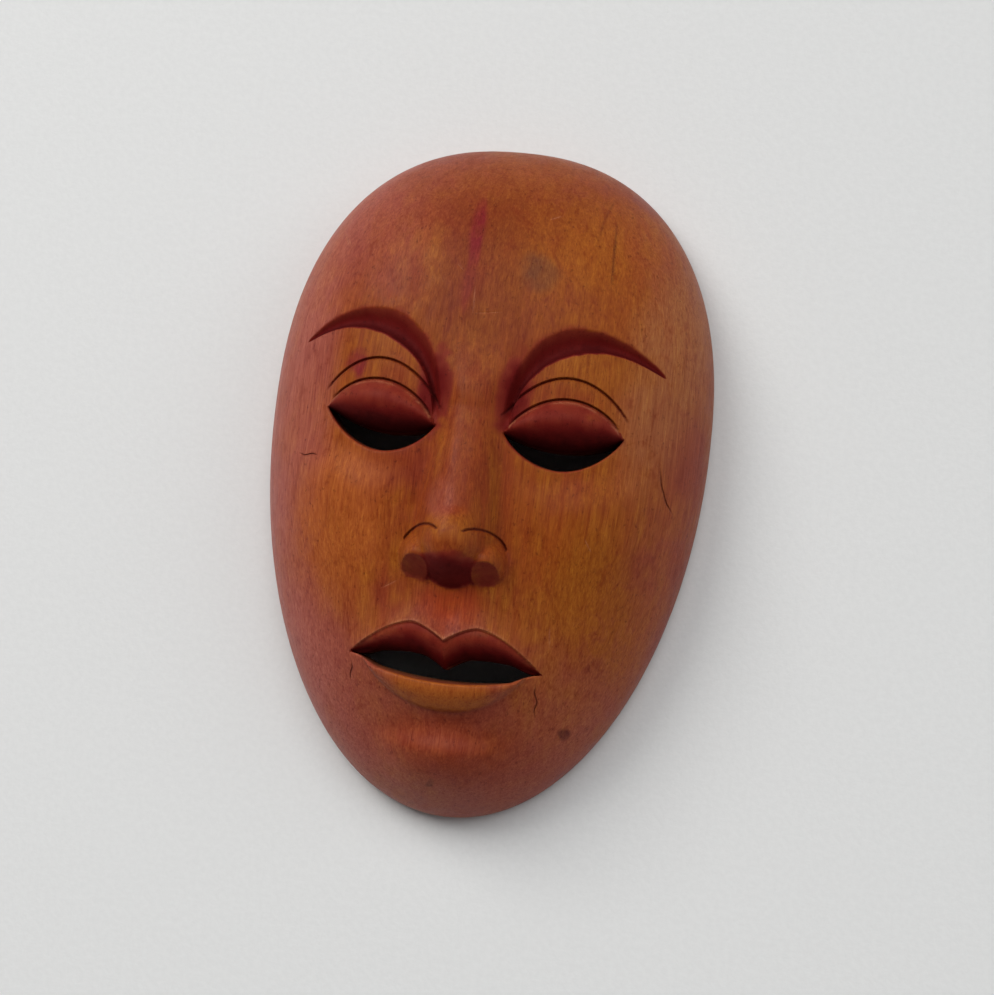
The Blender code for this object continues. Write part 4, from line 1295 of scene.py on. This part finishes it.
def bare_wood(nodes, wood):
    """Bands of gold and orange with redder patches, a painted rosy sheen at the edge and on the left, rosier
    towards the chin, and the marks laid over them.
    """
    colour = nodes.mix(nodes.between(wood.bands, 0.34, 0.66), ORANGE, GOLDEN)
    colour = nodes.mix(nodes.between(wood.blotch, 0.40, 0.66), colour, REDDISH)
    colour = nodes.mix(nodes.between(wood.mottle, 0.50, 0.75, 0.0, 0.45), colour, REDDISH)
    # Painted sheen: rosier towards the edge and most on the left side; also a rosier tone towards the chin.
    sheen_to_left = nodes.between(wood.axes["X"], 10.0, -70.0, 0.24, 0.90)
    to_chin = nodes.between(wood.axes["Y"], -20.0, -95.0, 0.0, 0.22)
    rosy = nodes.total(nodes.times(nodes.between(wood.rho, 0.55, 0.98), sheen_to_left), to_chin, clamp=True)
    rosy = nodes.times(rosy, nodes.between(wood.blotch, 0.25, 0.60, 0.55, 1.1), clamp=True)
    colour = nodes.mix(rosy, colour, ROSY_TONE_AND_SHEEN)
    cover = nodes.times(wood.tint["Alpha"], nodes.between(wood.mottle, 0.30, 0.60, 0.62, 1.12), clamp=True)
    return nodes.mix(cover, colour, wood.tint["Color"])


def stained_wood(nodes, wood, colour):
    """The stain and the painted shade in three strengths, then the dark lines, the bare lip, the rubbed edges
    and the raw back.
    """
    dye_and_shade_depth = nodes.total(wood.dye_and_shade, nodes.times(wood.fibre, 0.12), nodes.times(wood.mottle, 0.36), -0.24)
    dye_and_shade_depth = nodes.times(dye_and_shade_depth, nodes.between(wood.dye_and_shade, 0.0, 0.12))
    # Stain colours by strength, laid also where shade is painted.
    for low, high, stain in ((0.05, 0.45, STAIN_AND_SHADE), (0.35, 0.75, MAROON), (0.70, 1.05, DEEP_MAROON)):
        colour = nodes.mix(nodes.between(dye_and_shade_depth, low, high), colour, stain)
    colour = nodes.mix(nodes.times(wood.line, 0.93), colour, LINE_DARK)
    colour = nodes.mix(nodes.times(wood.ochre, 0.75), colour, OCHRE)
    rubbed = nodes.times(wood.worn, nodes.between(wood.fibre, 0.35, 0.6, 0.4, 0.95))
    colour = nodes.mix(rubbed, colour, BARE_EDGE)
    return nodes.mix(wood.back, colour, nodes.mix(nodes.between(wood.bands, 0.36, 0.62), RAW_DARK, RAW_WOOD))


def grained_wood(nodes, wood, colour):
    """Paler and redder fibres and streaks, fainter where the wood is stained and where shade is painted, with
    pores and dark specks.
    """
    paler = nodes.total(
        nodes.between(wood.fibre, 0.52, 0.74, 0.0, 0.72),
        nodes.between(wood.streaks, 0.50, 0.72, 0.0, 0.60),
        nodes.between(wood.specks, 0.42, 0.26, 0.0, 0.60),
    )
    clear_of_dye_and_shade = nodes.between(nodes.total(wood.dye_and_shade, nodes.times(wood.ochre, 0.3)), 0.05, 0.60, 1.0, 0.10)
    colour = nodes.mix(nodes.times(paler, clear_of_dye_and_shade), colour, LIGHTER, "MULTIPLY")
    redder = nodes.total(
        nodes.between(wood.fibre, 0.30, 0.60, 0.70, 0.0),
        nodes.between(wood.streaks, 0.46, 0.28, 0.0, 0.65),
        nodes.between(wood.rings, 0.62, 0.98, 0.0, 0.16),
        nodes.between(wood.mottle, 0.44, 0.26, 0.0, 0.70),
    )
    redder = nodes.times(redder, nodes.between(wood.dye_and_shade, 0.0, 0.7, 1.0, 0.3))
    colour = nodes.mix(redder, colour, REDDER, "MULTIPLY")
    speck = nodes.total(nodes.between(wood.specks, 0.60, 0.76, 0.0, 0.66), nodes.times(wood.pore, 0.38))
    return nodes.mix(speck, colour, SPECK, "MULTIPLY")


def carved_wood():
    """Oiled reddish hardwood with vertical grain, hand stain, rubbed edges, small marks, painted shade and
    painted sheen.
    """
    material = bpy.data.materials.new("stained_hardwood")
    nodes = Nodes(material)
    wood = wood_fields(nodes)
    colour = stained_wood(nodes, wood, bare_wood(nodes, wood))
    nodes.join(grained_wood(nodes, wood, colour), "Base Color")
    oiled = nodes.between(wood.mottle, 0.30, 0.70, 0.36, 0.46)
    duller = [nodes.times(wood.dye_and_shade, 0.36), nodes.times(wood.back, 0.20), nodes.times(wood.pore, 0.15)]
    nodes.join(nodes.total(oiled, *duller), "Roughness")
    relief = [nodes.times(wood.fibre, 0.4), nodes.times(wood.pore, -0.4), nodes.times(wood.mottle, 0.35)]
    nodes.bump(nodes.total(*relief), 0.55, RELIEF)
    nodes.shader.inputs["Specular IOR Level"].default_value = SPECULAR
    return material


def plain_floor():
    """A wide pale floor just under the mask."""
    bm = bmesh.new()
    bmesh.ops.create_grid(bm, x_segments=24, y_segments=24, size=FLOOR_HALF)
    floor = shown("floor", bm)
    floor.location.z = -FLOOR_DROP
    material = bpy.data.materials.new("pale_plaster")
    nodes = Nodes(material)
    fine = nodes.noise(nodes.add("ShaderNodeTexCoord", out=3), (420.0, 420.0, 420.0), 3.0, 0.6)
    nodes.join(nodes.mix(nodes.between(fine, 0.3, 0.7), FLOOR_LIGHT, FLOOR_SHADE), "Base Color")
    nodes.bump(fine, 0.25, 0.0005)
    nodes.shader.inputs["Roughness"].default_value = 0.85
    floor.data.materials.append(material)
    return floor


def look(at, from_point, up):
    """The placement of something at a point that looks at another, with this way up."""
    back = (from_point - at).normalized()
    right = up.cross(back).normalized()
    turn = Matrix((right, back.cross(right), back)).transposed().to_4x4()
    return Matrix.Translation(from_point) @ turn


def place_light(light, place, faces, power, colour):
    """Puts a light at a place, facing a point."""
    light.energy = power
    light.color = colour
    lamp = bpy.data.objects.new(light.name, light)
    lamp.matrix_world = look(Vector(faces), Vector(place), Vector((0, 0, 1)))
    bpy.context.collection.objects.link(lamp)


def soft_light(name, place, width, power, colour):
    """A square softbox that faces the mask."""
    light = bpy.data.lights.new(name, "AREA")
    light.shape = "SQUARE"
    light.size = width
    place_light(light, place, KEY_AIM, power, colour)


def soft_sun(name, towards, power, spread, colour):
    """Even light over the whole floor, with soft shadows."""
    light = bpy.data.lights.new(name, "SUN")
    light.angle = math.radians(spread)
    place_light(light, towards, (0, 0, 0), power, colour)


def sky(overhead, horizon):
    """A pale surround, dimmer overhead than at the horizon."""
    world = bpy.context.scene.world or bpy.data.worlds.new("surround")
    bpy.context.scene.world = world
    nodes = Nodes(world, "Background")
    axes = nodes.add("ShaderNodeSeparateXYZ", (0, nodes.add("ShaderNodeTexCoord"))).node.outputs
    nodes.join(nodes.between(axes["Z"], 0.02, 0.40, horizon, overhead), "Strength")
    nodes.shader.inputs["Color"].default_value = SKY


def set_studio():
    """A softbox and even light from above left, a little light from the right, and a pale surround."""
    soft_light("key", KEY_PLACE, 0.8, 4.6, WARM)
    soft_sun("even_key", KEY_PLACE, 1.22, 32.0, WARM)
    soft_sun("even_fill", (0.95, 0.40, 0.80), 0.42, 38.0, COOL)
    soft_sun("daylight", (0.11, 0.54, 1.0), 1.18, 40.0, WHITE)
    sky(overhead=0.10, horizon=0.86)
    bpy.context.scene.view_settings.view_transform = "Standard"


def set_camera():
    """Looks down on the mask from a little to its left, as the photograph does."""
    towards = Vector((math.sin(SIDEWAYS), math.sin(DOWNWAYS), math.cos(SIDEWAYS) * math.cos(DOWNWAYS)))
    up = Vector((-math.sin(LEAN), math.cos(LEAN), 0))
    camera = bpy.data.cameras.new("camera")
    camera.lens = LENS
    camera.clip_start = 0.01
    eye = bpy.data.objects.new("camera", camera)
    eye.matrix_world = look(AIM, AIM + towards.normalized() * DISTANCE, up)
    bpy.context.collection.objects.link(eye)
    bpy.context.scene.camera = eye


def main():
    """Makes the mask, the floor, the light and the camera."""
    mask = carved_mask()
    cut_notch(mask)
    stain_layers(mask.data)
    mask.data.materials.clear()
    mask.data.materials.append(carved_wood())
    mask.data.shade_smooth()
    mask.data.set_sharp_from_angle(angle=math.radians(40))
    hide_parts("carved_mask")
    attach(mask, "root")
    plain_floor()
    set_studio()
    set_camera()


main()
